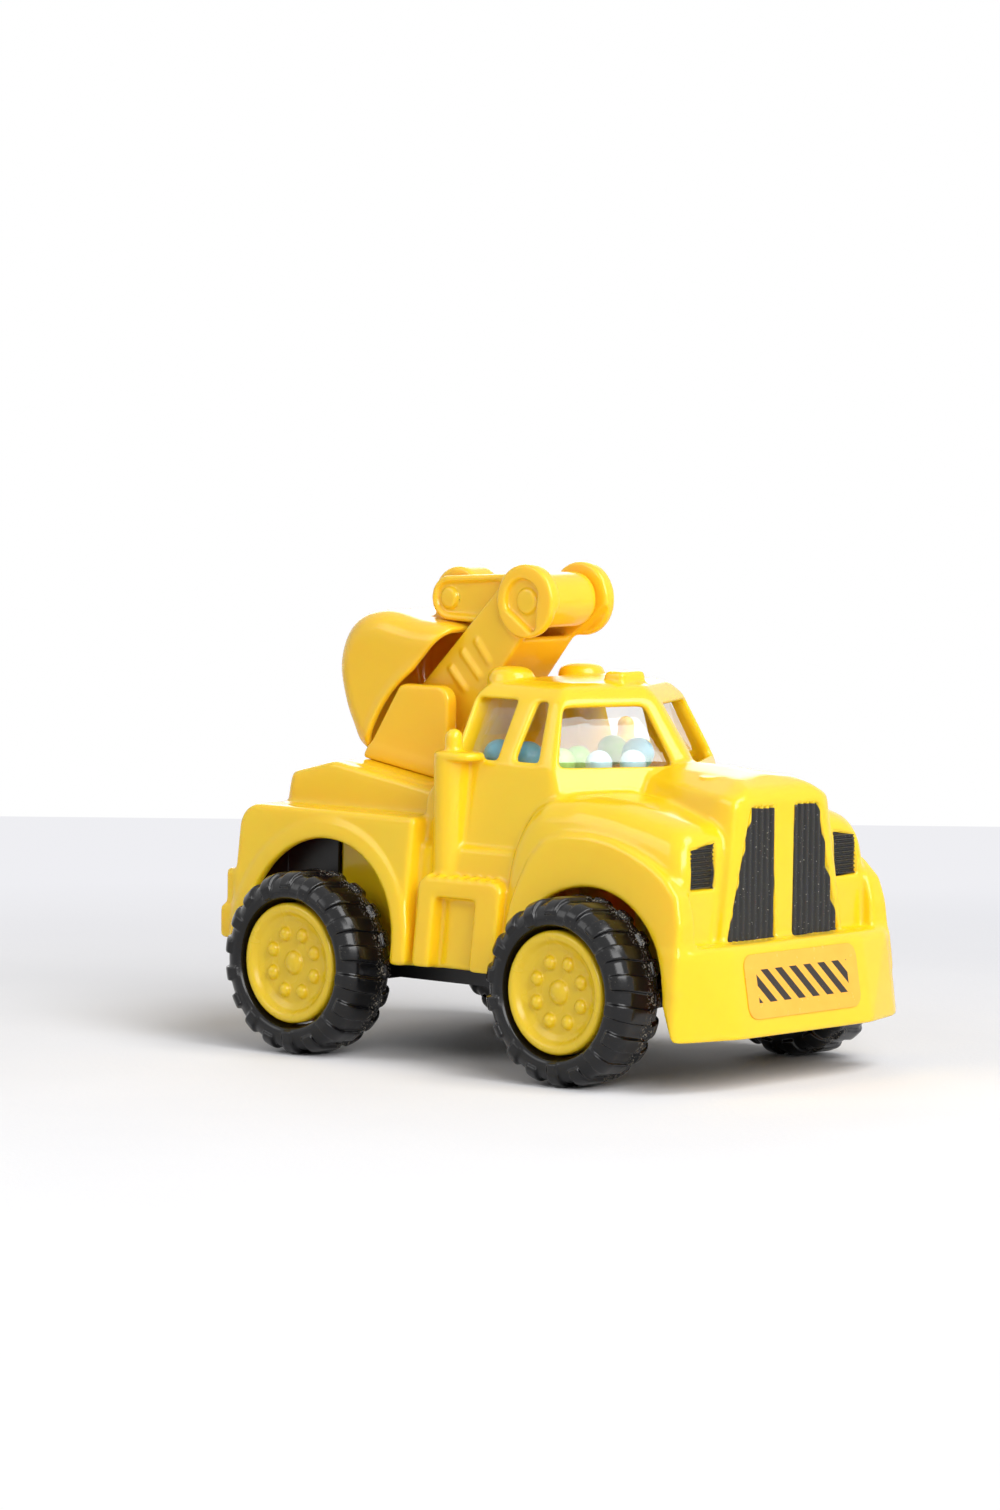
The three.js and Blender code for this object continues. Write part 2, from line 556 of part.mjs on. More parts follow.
// Chassis: a floor under the body, axle blocks, inner wheel guards and bores for the axles and screws
function chassis() {
  const parts = [prism('z', mirrored(CHASSIS_PLAN), CHASSIS_LOW, CHASSIS_TOP)];
  const tools = [];
  ENDS.forEach(([, axleX]) => {
    const block = AXLE_BLOCK.outline.map(([x, z]) => [axleX + x, z]);
    parts.push(prism('y', block, -AXLE_BLOCK.half, AXLE_BLOCK.half));
    tools.push(rod({ x: axleX, z: TYRE_RADIUS }, AXLE_RADIUS + AXLE_CLEARANCE, -FAR, FAR));
  });
  const { rear, front, thick, top } = WHEEL_GUARD;
  SIDES.forEach((side) => {
    parts.push(box(rear, front, side * (CHASSIS_HALF - thick), side * CHASSIS_HALF, CHASSIS_LOW, top));
  });
  SCREWS.forEach((place) => {
    tools.push(post(place, SCREW_HEAD.bore, 0, CHASSIS_LOW + SCREW_HEAD.sink));
    tools.push(post(place, SCREW_RADIUS + GAP, 0, FAR, 8));
  });
  tools.push(box(HATCH.x - HATCH.half, HATCH.x + HATCH.half, -HATCH.width, HATCH.width, 0, FAR));
  return cut(join(parts), tools);
}

// Snap-in plug that closes the filling hole
function fillerPlug() {
  const block = (grow, low, top) => {
    const half = HATCH.half - GAP + grow;
    const width = HATCH.width - GAP + grow;
    return box(HATCH.x - half, HATCH.x + half, -width, width, low, top);
  };
  return block(PLUG_LIP, PLUG_LID_LOW, CHASSIS_LOW - GAP).add(block(0, PLUG_JOIN, CHASSIS_TOP));
}

function chassisScrew({ x, y }) {
  const head = CHASSIS_LOW + SCREW_HEAD.sink - GAP;
  const tip = head + SCREW_LENGTH;
  const profile = [[0, head - SCREW_HEAD.height], [SCREW_HEAD.crown, head - SCREW_HEAD.height],
    [SCREW_HEAD.radius, head - SCREW_HEAD.height + SCREW_HEAD.edge], [SCREW_HEAD.radius, head],
    [SCREW_RADIUS, head], [SCREW_RADIUS, tip - SCREW_TIP.length], [SCREW_TIP.radius, tip], [0, tip]];
  return turned(profile, 8).translate(x, y, 0);
}

// Wheels are turned about Z and then laid along Y, with the outer face towards +Z
function lugOutline() {
  const points = [];
  const pitch = 2 * Math.PI / TYRE_LUGS;
  const floor = TYRE_RADIUS - TYRE_GROOVE;
  const edges = [...LUG_TOP.map((share) => [share, TYRE_RADIUS]), ...LUG_FOOT.map((share) => [share, floor])];
  for (let lug = 0; lug < TYRE_LUGS; lug += 1) {
    edges.forEach(([share, radius]) => {
      const angle = (lug + share) * pitch;
      points.push(new THREE.Vector2(radius * Math.cos(angle), radius * Math.sin(angle)));
    });
  }
  return new THREE.Shape(points);
}

function tyre() {
  const width = TYRE_OUTER - TYRE_INNER;
  const tread = new THREE.ExtrudeGeometry(lugOutline(), {
    depth: width - 2 * TYRE_SHOULDER,
    bevelSize: TYRE_SHOULDER,
    bevelOffset: -TYRE_SHOULDER,
    bevelThickness: TYRE_SHOULDER,
    bevelSegments: 1,
  });
  const bore = new THREE.CylinderGeometry(HUB_RADIUS + GAP, HUB_RADIUS + GAP, 3 * width, 24);
  return solid(tread.translate(0, 0, TYRE_SHOULDER)).subtract(solid(bore.rotateX(Math.PI / 2)));
}

function hub() {
  const height = HUB_OUTER - HUB_INNER;
  const bore = AXLE_RADIUS + AXLE_FIT;
  const blind = AXLE_HALF_LENGTH - HUB_INNER + GAP;
  const web = height - HUB_WEB_BACK;
  const back = [[0, blind], [bore, blind], [bore, 0], [HUB_NECK_RADIUS, 0], [HUB_NECK_RADIUS, web],
    [HUB_RIM_INNER, web], [HUB_RIM_INNER, HUB_RIM_BACK], [HUB_RADIUS, HUB_RIM_BACK], [HUB_RADIUS, height]];
  const front = HUB_DISH.map(([radius, depth]) => [radius, height - depth]);
  const bolts = [];
  for (let i = 0; i < BOLT_COUNT; i += 1) {
    const angle = 2 * Math.PI * (i + 0.5) / BOLT_COUNT;
    const bolt = new THREE.CylinderGeometry(BOLT_RADIUS * BOLT_TAPER, BOLT_RADIUS, BOLT_HEIGHT, 6);
    bolt.rotateX(Math.PI / 2);
    bolt.translate(BOLT_CIRCLE * Math.cos(angle), BOLT_CIRCLE * Math.sin(angle), height - BOLT_DEPTH);
    bolts.push(solid(bolt));
  }
  return join([solid(turned(back.concat(front), 24)), ...bolts]);
}

// Bracket: two cheeks on a foot that follows the deck's slope
const padTop = (x) => deckTop(x) + PAD_HEIGHT + GAP;
const footTop = (x) => padTop(x) + FOOT_THICK;

function armBracket() {
  const { rear, front, top, round, backTop, backRound, backDrop } = BRACKET;
  const cheek = [[rear, padTop(rear)], [front, padTop(front)]]
    .concat(arc({ x: front - round, z: top - round }, round, 0, 90, 4))
    .concat([[backTop, top], [backTop - backRound, top - backDrop], [backTop - 2, top - backRound]]);
  const foot = [[rear, padTop(rear)], [front, padTop(front)], [front, footTop(front)],
    [rear + backRound, footTop(rear)]];
  const cheeks = SIDES.map((side) => prism('y', cheek, side * BRACKET_INNER, side * BRACKET_HALF));
  return join([prism('y', foot, -BRACKET_HALF, BRACKET_HALF), ...cheeks]);
}

// Boom: a box beam that leans forward and opens at the top into a fork with round knuckle discs.
// A point of the boom is a distance down its axis from the knuckle, and one across it towards the front.
const boomBack = (down) => -(BOOM_BACK.start + BOOM_BACK.spread * down);

function boomPoint(down, across) {
  const x = KNUCKLE.x - down * Math.cos(BOOM_LEAN) + across * Math.sin(BOOM_LEAN);
  const z = KNUCKLE.z - down * Math.sin(BOOM_LEAN) - across * Math.cos(BOOM_LEAN);
  return [x, z];
}

function boomBeam() {
  const lean = THREE.MathUtils.radToDeg(BOOM_LEAN);
  const end = arc(KNUCKLE, KNUCKLE_RADIUS, lean + 90, lean - 60, 10);
  const base = [[BOOM_FOOT_FRONT, BOOM_FOOT_TOPS.front], [BOOM_FOOT_FRONT, footTop(BOOM_FOOT_FRONT) + GAP],
    [BOOM_FOOT_REAR, footTop(BOOM_FOOT_REAR) + GAP], [BOOM_FOOT_REAR, BOOM_FOOT_TOPS.rear]];
  const outline = [...base, boomPoint(BOOM_FOOT, boomBack(BOOM_FOOT)), ...end,
    boomPoint(BOOM_FRONT_TOP, BOOM_FRONT)];
  const low = BOOM_FOOT - 4;
  const front = BOOM_FRONT - BOOM_WALL;
  const [mouth, lip] = BOOM_BACK_TOP;
  const hollow = [boomPoint(low, front), boomPoint(low, boomBack(low) + BOOM_WALL),
    boomPoint(lip, boomBack(lip) + BOOM_WALL), boomPoint(mouth, -FAR), boomPoint(-FAR, -FAR),
    boomPoint(-FAR, FAR), boomPoint(BOOM_FRONT_TOP, FAR), boomPoint(BOOM_FRONT_TOP, front)];
  return prism('y', outline, -BOOM_HALF, BOOM_HALF).subtract(prism('y', hollow, -BOOM_INNER, BOOM_INNER));
}

// Three raised slashes on each side of the boom: rear end of each, and the way to its front end
function slash(side, [x, z]) {
  const front = { x: x + SLASH_RUN[0], z: z + SLASH_RUN[1] };
  const outline = capsule({ x, z }, SLASH_RADIUS, front, SLASH_RADIUS, 4);
  return prism('y', outline, side * (BOOM_HALF - ROOT), side * (BOOM_HALF + SLASH_PROUD));
}

function boom() {
  const discs = SIDES.map((s) => rod(KNUCKLE, KNUCKLE_RADIUS, s * (BOOM_HALF - ROOT), s * DISC_HALF, 24));
  const pocketFoot = { x: KNUCKLE.x + DISC_POCKET.footX, z: KNUCKLE.z + DISC_POCKET.footZ };
  const pocketHead = { x: KNUCKLE.x - DISC_POCKET.back, z: KNUCKLE.z };
  const pocket = capsule(pocketHead, DISC_POCKET.radius, pocketFoot, DISC_POCKET.footRadius, 7);
  const pockets = SIDES.map((s) => prism('y', pocket, s * (DISC_HALF - DISC_POCKET.depth), s * FAR));
  const bosses = SIDES.map((s) => rod(KNUCKLE, DISC_BOSS.radius, s * (BOOM_HALF - DISC_BOSS.root),
    s * (DISC_HALF - DISC_BOSS.inset), 12));
  const slashes = SIDES.flatMap((side) => SLASHES.map((place) => slash(side, place)));
  const bore = rod(KNUCKLE, TRUNNION_RADIUS + GAP, -TRUNNION_HALF - GAP, TRUNNION_HALF + GAP, 16);
  return cut(join([cut(join([boomBeam(), ...discs]), pockets), ...bosses]), [bore]).add(join(slashes));
}

// Stick: a barrel between the boom's discs and two arms back to the bucket
function stick() {
  const outline = capsule(BUCKET_PIVOT, STICK_END_RADIUS, KNUCKLE, BARREL_RADIUS, 8);
  const arms = prism('y', outline, -STICK_HALF, STICK_HALF);
  const trunnion = rod(KNUCKLE, TRUNNION_RADIUS, -TRUNNION_HALF, TRUNNION_HALF, 16);
  const slot = box(-FAR, BUCKET_PIVOT.x + LUG_RADIUS + 1, -STICK_ARM, STICK_ARM, ...STICK_RANGE);
  return cut(arms.add(trunnion), [slot, rod(BUCKET_PIVOT, PIVOT_RADIUS + GAP, -FAR, FAR, 12)]);
}

// Bucket: a rounded scoop, open towards the boom, on a round lug with moulded pivots
function bucketBlob(inset) {
  const points = [];
  BUCKET_RINGS.forEach(([share, scale]) => BUCKET_OUTLINE.forEach(([x, z]) => {
    const dx = x - BUCKET_MIDDLE.x;
    const dz = z - BUCKET_MIDDLE.z;
    const keep = scale - inset / Math.hypot(dx, dz);
    points.push([BUCKET_MIDDLE.x + dx * keep, share * (BUCKET_HALF - inset), BUCKET_MIDDLE.z + dz * keep]);
  }));
  return hull(bothSides(points));
}

// The bucket's mouth is notched so that its sides pass on either side of the boom
function bucket() {
  const rim = rod(BUCKET_RIM, BUCKET_RIM.radius, -FAR, FAR, 40);
  const notchSide = [boomPoint(NOTCH_ABOVE, boomBack(0) - NOTCH_ROOM),
    boomPoint(BOOM_FOOT, boomBack(BOOM_FOOT) - NOTCH_ROOM), boomPoint(BOOM_FOOT, FAR),
    boomPoint(NOTCH_ABOVE, FAR)];
  const notchHalf = BOOM_HALF + SLASH_PROUD + GAP;
  const notch = prism('y', notchSide, -notchHalf, notchHalf);
  const hollow = bucketBlob(BUCKET_WALL);
  const neck = { x: BUCKET_PIVOT.x - LUG_NECK.back, z: LUG_NECK.z };
  const lug = prism('y', capsule(neck, LUG_NECK.radius, BUCKET_PIVOT, LUG_RADIUS, 8), -LUG_HALF, LUG_HALF);
  const pivots = rod(BUCKET_PIVOT, PIVOT_RADIUS, -STICK_HALF, STICK_HALF, 12);
  return join([cut(bucketBlob(0), [hollow, rim, notch]), cut(lug, [hollow, notch]), pivots]);
}

// Plain label in the middle of the bumper, whose face leans back
function frontLabel() {
  const { half, low, top, thick, lift } = LABEL;
  const height = BUMPER_TOP - BUMPER_EDGE - BUMPER_LOW;
  const lean = (z) => FRONT_END - (FRONT_END - BUMPER_RINGS[1].front) * (z - BUMPER_LOW) / height + lift;
  const outline = [[lean(low), low], [lean(low) + thick, low], [lean(top) + thick, top], [lean(top), top]];
  return prism('y', outline, -half, half);
}

// The assembly
const truck = new THREE.Group();
truck.position.x = -MIDDLE_X;

function addPiece(name, body, material, parent = truck) {
  const mesh = new THREE.Mesh(body.isBufferGeometry ? body : geometryOf(body), material);
  mesh.name = name;
  parent.add(mesh);
  return mesh;
}

addPiece('body_shell', bodyShell(), BODY_YELLOW());
addPiece('cab_glazing', cabGlazing(), CLEAR());
addPiece('sweet_tray', sweetTray(), BODY_YELLOW());
SWEETS.forEach((sweet) => addPiece(sweet.name, sweetBall(sweet), finish(sweet.color, 0.3)));
addPiece('chassis', chassis(), CHASSIS_BLACK());
addPiece('filler_plug', fillerPlug(), CHASSIS_BLACK());
SCREWS.forEach((place, i) => addPiece(`chassis_screw_${i + 1}`, chassisScrew(place), STEEL()));
addPiece('front_label', frontLabel(), LABEL_PAPER());
addPiece('arm_bracket', armBracket(), ARM_YELLOW());
addPiece('boom', boom(), ARM_YELLOW());
addPiece('stick', stick(), ARM_YELLOW());
addPiece('bucket', bucket(), ARM_YELLOW());

ENDS.forEach(([end, x]) => {
  const axle = new THREE.CylinderGeometry(AXLE_RADIUS, AXLE_RADIUS, 2 * AXLE_HALF_LENGTH, 16);
  addPiece(`${end}_axle`, axle, STEEL()).position.set(x, 0, TYRE_RADIUS);
  HANDS.forEach(([hand, side]) => {
    const wheel = new THREE.Group();
    wheel.position.set(x, 0, TYRE_RADIUS);
    wheel.rotation.x = -side * Math.PI / 2;
    truck.add(wheel);
    addPiece(`${end}_${hand}_tyre`, tyre(), TYRE_BLACK(), wheel).position.z = TYRE_INNER;
    addPiece(`${end}_${hand}_hub`, hub(), HUB_YELLOW(), wheel).position.z = HUB_INNER;
  });
});

const part = new THREE.Group();
part.add(truck);
export default part;
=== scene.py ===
"""Looks of the toy digger truck: rounded plastic mouldings, finishes, floor, light and camera.

Shapes are signed distance fields on regular grids, in millimetres, with X measured from the rear axle.
A field is negative inside the plastic, and its zero level becomes a smooth mesh.
"""
import functools
import itertools
import math

import bmesh
import bpy
import numpy as np
from mathutils import Matrix, Vector


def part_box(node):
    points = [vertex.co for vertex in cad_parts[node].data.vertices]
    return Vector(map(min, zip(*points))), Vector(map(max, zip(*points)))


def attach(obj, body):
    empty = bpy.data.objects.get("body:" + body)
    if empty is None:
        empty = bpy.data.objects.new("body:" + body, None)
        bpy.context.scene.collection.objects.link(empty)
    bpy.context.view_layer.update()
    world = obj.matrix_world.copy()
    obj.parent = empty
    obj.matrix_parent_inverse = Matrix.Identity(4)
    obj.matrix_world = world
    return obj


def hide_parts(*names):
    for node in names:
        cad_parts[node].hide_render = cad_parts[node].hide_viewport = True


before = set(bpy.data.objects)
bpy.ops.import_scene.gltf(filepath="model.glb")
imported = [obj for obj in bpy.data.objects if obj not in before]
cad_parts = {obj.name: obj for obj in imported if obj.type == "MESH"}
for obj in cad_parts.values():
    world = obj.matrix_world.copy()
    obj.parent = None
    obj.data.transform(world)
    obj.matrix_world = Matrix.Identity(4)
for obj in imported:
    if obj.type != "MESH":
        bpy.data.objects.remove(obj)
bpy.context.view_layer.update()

# Units: the rear axle sets where X starts
MM = 0.001
AXLE_LOW, AXLE_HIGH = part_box("rear_axle")
REAR_AXLE_X = (AXLE_LOW.x + AXLE_HIGH.x) / 2
WHEELBASE = 67.3
HANDS = (("right", -1), ("left", 1))

COARSE = 1.0
GRIDS = {"body_moulding": ((-27.5, 0, 7), (98, 36, 76.5), 0.42, 160000),
         "arm_bracket_moulding": ((-6.5, -14.4, 50), (21.4, 14.4, 71.5), 0.38, 14000),
         "boom_moulding": ((-2.5, -11, 53), (42, 11, 96), 0.38, 40000),
         "stick_moulding": ((4.5, -9, 80), (40, 9, 93.5), 0.38, 22000),
         "bucket_moulding": ((-15.5, -15, 53), (20, 15, 94.5), 0.38, 40000),
         "tyre": ((-18.8, -41.3, -18.8), (18.8, -25, 18.8), 0.3, 80000),
         "hub": ((-12.8, -40.4, -12.8), (12.8, -29, 12.8), 0.25, 36000),
         "rear_right_guard": ((-22, -26.2, 16.8), (-12, -22.4, 42.4), 0.3, 4000),
         "rear_left_guard": ((-22, 22.4, 16.8), (-12, 26.2, 42.4), 0.3, 4000)}
BLUR_REACH = 2.6
SLOPE_REACH = 0.6
LEAST_SLOPE = 0.1
ARC_STEPS = 8
CAPSULE_STEPS = 16
ARCH_STEPS = 36
CURVE_STEPS = 8
FLAT = 1e-4
DEEP = -30
FAR = 60
NEAR_MIDDLE = 0.01
GAP = 0.3

# Edges: the spread of each piece's blur, and the fillets where fields meet
ROUNDING = {"rear_block": 0.55, "deck": 0.55, "pad": 0.35, "cab": 0.6, "rocker": 0.6, "greenhouse": 0.75,
            "hood": 0.65, "fender": 1.0, "flare": 0.5, "bumper": 0.6, "lip": 0.42, "column": 0.3,
            "cap": 0.45, "step": 0.4, "roof_trim": 0.5, "rear_bumper": 0.45, "window": 0.4, "screen": 0.5,
            "body": 0.24, "bracket": 0.42, "boom": 0.3, "stick": 0.4, "bucket": 0.4, "tyre": 0.17,
            "hub": 0.26, "guard": 0.2}
FILLET = {"hollow": 0.8, "floor": 0.8, "mass": 1.0, "trim": 0.6, "wall": 0.5, "cut": 0.7, "recess": 0.4,
          "inner": 0.3, "stack": 0.8, "tread": 0.3, "step": 0.5, "bracket": 0.8, "disc": 0.5, "slash": 0.4,
          "bucket_lug": 0.9, "tyre_lug": 0.15, "seam": 0.2, "rim": 0.9, "bolt": 0.3}

# Body sides and floor
WALL = 1.6
SIDE_HALF = 33.6
SIDE_HALF_AT = 9.5
SIDE_DRAFT = 0.124
BODY_LOW = 18
TRIM_INNER = 26

# Rear block with its bumper: each bar has a back, a half width, a low and a top
REAR_END = -25.9
REAR_FACE = -22.6
REAR_TOP = 46
REAR_FRONT = 23
REAR_CORNER = 4.5
REAR_LOW = 19.7
REAR_LOW_AT = -15
REAR_BARS = [(-25, 30.6, 21.4, 33.2), (REAR_END, 31.4, 19.4, 26)]
REAR_BARS_FRONT = -20.5

# Deck behind the cab
DECK_HALF = 22
DECK_REAR = -18.4
DECK_FRONT = REAR_FRONT + 4
DECK_FLOOR = 44
DECK_CORNER = 3.5
DECK_RIDGE = (-5.2, 54.7)
DECK_SLOPE = -0.1565
DECK_BACK = [(DECK_REAR + 2.4, 52), (DECK_REAR, 45)]
DECK_DRAFT = 0.03
PAD_HALF = 18.5
PAD_HEIGHT = 0.1
PAD_SINK = 1
PAD_ENDS = (DECK_RIDGE[0] + 0.6, 16.5)

# Cab: the cowl leans back from its foot to the sill
CAB_REAR = 21.8
CAB_SILL_REAR = 26
CAB_HALF = 23.6
CAB_CORNER = 53.2
CAB_MIDDLE = 67.4
COWL_FOOT = 49.6
COWL_AHEAD = 2.6
ROCKER_TOP = 41
ROCKER_ENDS = (22, 49)
ROCKER_INSET = 3
SILL = 57.3
ROOF_TOP = 72.2
# Rings above the sill: a height, the rear and front corners in [x, y], and the middle of the windscreen
CAB_RINGS = [(SILL - 3, (27.3, 23.7), (53.2, 23.9), 67.6), (SILL + 0.4, (27.5, 23.4), (53.1, 23.6), 67.2),
             (69.2, (28.2, 18.2), (50.3, 18.0), 58.6), (71.4, (29.4, 15.8), (48.7, 15.6), 56.0),
             (ROOF_TOP, (31.5, 13.0), (47.2, 12.8), 53.2)]
SIDE_WINDOWS = [[(28.9, 57.5), (38.8, 57.5), (39.5, 68.7), (29.6, 68.7)],
                [(43, 57.6), (49.2, 57.6), (47, 68.6), (44.2, 68.6)]]
WINDOW_CORNER = 0.6
WINDOW_DEPTH = (12, 23.4)
SCREEN = [(54.6, 22.8, 57.5), (65.4, 3, 57.1), (51.4, 18, 68.3), (57.8, 2.7, 68.1)]
SCREEN_REACH = (6, 3, 3)
ROOF_LAMP = (30.9, 10.3)
ROOF_LAMP_PROFILE = [(-9, 70), (4.7, 70), (4.6, 72.6), (4.1, 73.6), (3, 74.2), (1.4, 74.5), (-9, 74.5)]
ROOF_BLOCK = (48.2, 53, 3.7, 70, 74.2)

# Stack beside the cab: one x or two, a radius, a low and a top of each piece
STACK_OUT = 25.2
COLUMN = (29.3, 3.5, 33, 57.6)
CAP = (29.4, 32.8, 3.7, 57.2, 58.9)
PIPE = (29.7, 1.7, 58, 61.5)

# Step under the door, with its recess (rear, front, floor, top) and treads (two ends, height, radius)
STEP = [(25.4, BODY_LOW), (46.4, BODY_LOW), (46.4, 33.8), (45, 35.2), (26.8, 35.2), (25.4, 33.8)]
STEP_INNER = 24
STEP_RECESS = (30, 40, 28.2, 31.4)
TREAD = (28, 29.2, 34.9, 0.85)
TREAD_PLACES = np.arange(27.6, 45, 2.6)

# Bonnet, fenders and front bumper
HOOD_LOW = 24
HOOD = [(58, NEAR_MIDDLE, 58.2), (58, 3.6, 57.4), (58, 6.6, 55.7), (58, 8.6, 52), (58, 12, 40),
        (76, NEAR_MIDDLE, 57.7), (76, 4.2, 57), (76, 8.8, 55.2), (76, 12, 51), (76, 15.4, 40),
        (85, NEAR_MIDDLE, 56.6), (85, 8, 56), (88.8, 9.5, 54.6), (90.2, 11, 52.6), (89.4, 13.9, 52.3),
        (86, 14, 53.2), (90.4, 18.4, HOOD_LOW)]
FENDER_LOW = 20
FENDER_INNER = 10
FENDER_FLARE = 2
# A section is an x, a top and a half width, and its shoulder falls away by [back, drop]
FENDER_SECTIONS = [(46.2, 40, 28.8), (47.6, 45.6, 28.8), (50, 49.4, 28.7), (54, 52, 28.6), (62, 52.5, 28.6),
                   (71, 51.5, 28.4), (79, 49.8, 28), (85, 48.3, 27.6), (87.4, 46.6, 27.2),
                   (88.2, 43.6, 26.8)]
SHOULDER = [(7, 0), (3, 1.1), (0.9, 3.6), (0, 7.5)]
FLARE_CREASE = [(47, BODY_LOW), (47.3, 24), (48.6, 31.4), (50.3, 36), (52.4, 40.4), (55.6, 43.8), (60, 45.3),
                (66, 45.6), (72, 44.9), (77.4, 43.3), (82, 41.4), (86, 39), (89.4, 35.6), (90.6, 31),
                (91, BODY_LOW)]
FRONT_END = 96.4
BUMPER_LOW = 9.1
BUMPER_TOP = 26.4
BUMPER_BREAK = BUMPER_TOP - 1.2
BUMPER_RAKE = 2.8
BUMPER_BACK = 86
BUMPER_CHAMFER = (1.6, 3)
BUMPER_FLAT = 19.5
# A ring is a height, a front, a corner and a half width
BUMPER_RINGS = [(BUMPER_LOW, FRONT_END, 91.4, 33.6), (BUMPER_BREAK, FRONT_END - BUMPER_RAKE, 90.6, 31.6),
                (BUMPER_TOP, 92.4, 89.6, 30.6)]

# Wheel arches: x and z of the middle, and the radius
REAR_ARCH = (1, 21.2, 19.3)
REAR_ARCH_INNER = 10
FRONT_ARCH = (67.8, 16, 20)
FRONT_ARCH_INNER = 22
FRONT_TOE = 90.8
LIP_WIDTH = 3.8
LIP_PROUD = 0.6
LIP_FALL = 0.35

# Inside: ribs carry the sweet tray, posts take the chassis screws, and a wall closes each rear arch
TRAY_RIBS = (33, 50)
TRAY_RIB_THICK = 1.6
TRAY_RIB_HALF = 24
TRAY_RIB_DEPTH = 4
TRAY_TOP = 54.2
TRAY_THICK = 1.2
POSTS = ((-11, 13, 51), (78, 6, 56))
POST_RADIUS = 2.6
ARCH_WALL = [(-0.1, 21.4), (4.9, 21.4), (4.9, 18.3), (22.4, 18.3), (22.4, 43), (-0.1, 43)]
ARCH_WALL_SPAN = (22.7, 24.2)

# Grille and headlamps: outlines in [y, z], the floor of each recess, and its ribs
GRILLE = [(2.6, 26.4), (16.5, 26.4), (9.8, 51), (3, 51)]
GRILLE_FLOOR = 89.4
GRILLE_PITCH = 1.7
LAMP = [(17.9, 36.4), (24.7, 36.4), (24.2, 44), (17.6, 45)]
LAMP_FLOOR = 87.2
LAMP_PITCH = 0.8
RIB_HEIGHT = 0.52
RIB_SHARPNESS = 1.3
RIB_LIFT = 0.04
RIB_BACK = 0.6
RIB_SAMPLES = 96
RIB_OVERLAP = (0.03, 0.02)
RIB_CREASE = math.radians(60)

# Digger arm: places in [x, z]
KNUCKLE = (33, 86.9)
KNUCKLE_RADIUS = 7.1
KNUCKLE_STEPS = 24
BUCKET_PIVOT = (10.6, 86.5)
TRUNNION_RADIUS = 2.4
TRUNNION_HALF = 7.4
BOOM_HALF = 8
BOOM_INNER = 6.6
BOOM_LEAN = math.radians(51.6)
BOOM_FRONT = 3.2
BOOM_BACK = 7.1
BOOM_TAPER = 0.12
BOOM_NECK = 7.4
BOOM_FOOT = 32
BOOM_REAR_HEEL = (-0.6, 63.6)
BOOM_FRONT_HEEL = (16.4, 61.3)
BOOM_WALL = 1.4
BOOM_FLOOR = 28
BOOM_OPEN = (16, 15)
DISC_HALF = 9.4
DISC_SINK = 0.5
POCKET_HEAD = (KNUCKLE[0] - 0.6, KNUCKLE[1])
POCKET_FOOT = (KNUCKLE[0] + 1.6, KNUCKLE[1] - 4.6)
POCKET_RADII = (4.3, 1.2)
POCKET_DEPTH = 1.3
KNUCKLE_BOSS = 2.5
KNUCKLE_BOSS_SPAN = (BOOM_HALF - 0.2, DISC_HALF - 0.5)
SLASHES = [[(13.5, 72.9), (16.9, 69.4)], [(16.5, 76.2), (20.6, 72)], [(20.1, 78.5), (23, 75)]]
SLASH_PROUD = 0.45
SLASH_SINK = 0.6
STICK_HALF = 6.2
STICK_ARM = 3.9
STICK_END_RADIUS = 4.4
BARREL_RADIUS = 5.3
STICK_RIM = 1.3
STICK_POCKET_DEPTH = 1.1
STICK_POCKET_END = 24
STICK_BOSS = 2.2
STICK_BOSS_SPAN = (STICK_ARM, STICK_HALF - 0.1)
BRACKET_HALF = 12.9
BRACKET_INNER = 9.9
BRACKET_ENDS = (-5.2, 17)
BRACKET_TOP = 69.9
BRACKET_CORNER = 3
BRACKET_TIP = [(5.4, BRACKET_TOP), (4.0, BRACKET_TOP - 0.4), (3.4, BRACKET_TOP - 1.4)]
FOOT_THICK = 2.4
FOOT_SLANT = 1.4
BUCKET_HALF = 13.2
BUCKET_WALL = 1.5
BUCKET_EDGE = 4.6
BUCKET_OUTLINE = [(17.8, 76), (16.8, 80.2), (13, 81.7), (6, 82.4), (-2, 83.7), (-7.8, 82.5), (-11.6, 78.8),
                  (-13.3, 73), (-12.3, 67), (-10, 61.4), (-5.8, 56.2), (6, 57.5)]
BUCKET_LIP = 0.45
LIP_REACH = 1.8
BUCKET_RIM = (22.6, 48.6)
BUCKET_RIM_RADIUS = 28.2
NOTCH_ROOM = 0.6
NOTCH_TOP = -5
LUG_HALF = 3.5
LUG_RADIUS = 6.1
LUG_ROOM = 1
LUG_FOOT = (BUCKET_PIVOT[0] - 1, 81)
LUG_FOOT_RADIUS = 4.6
PIVOT_RADIUS = 1.8
PIVOT_SHORT = 1.2

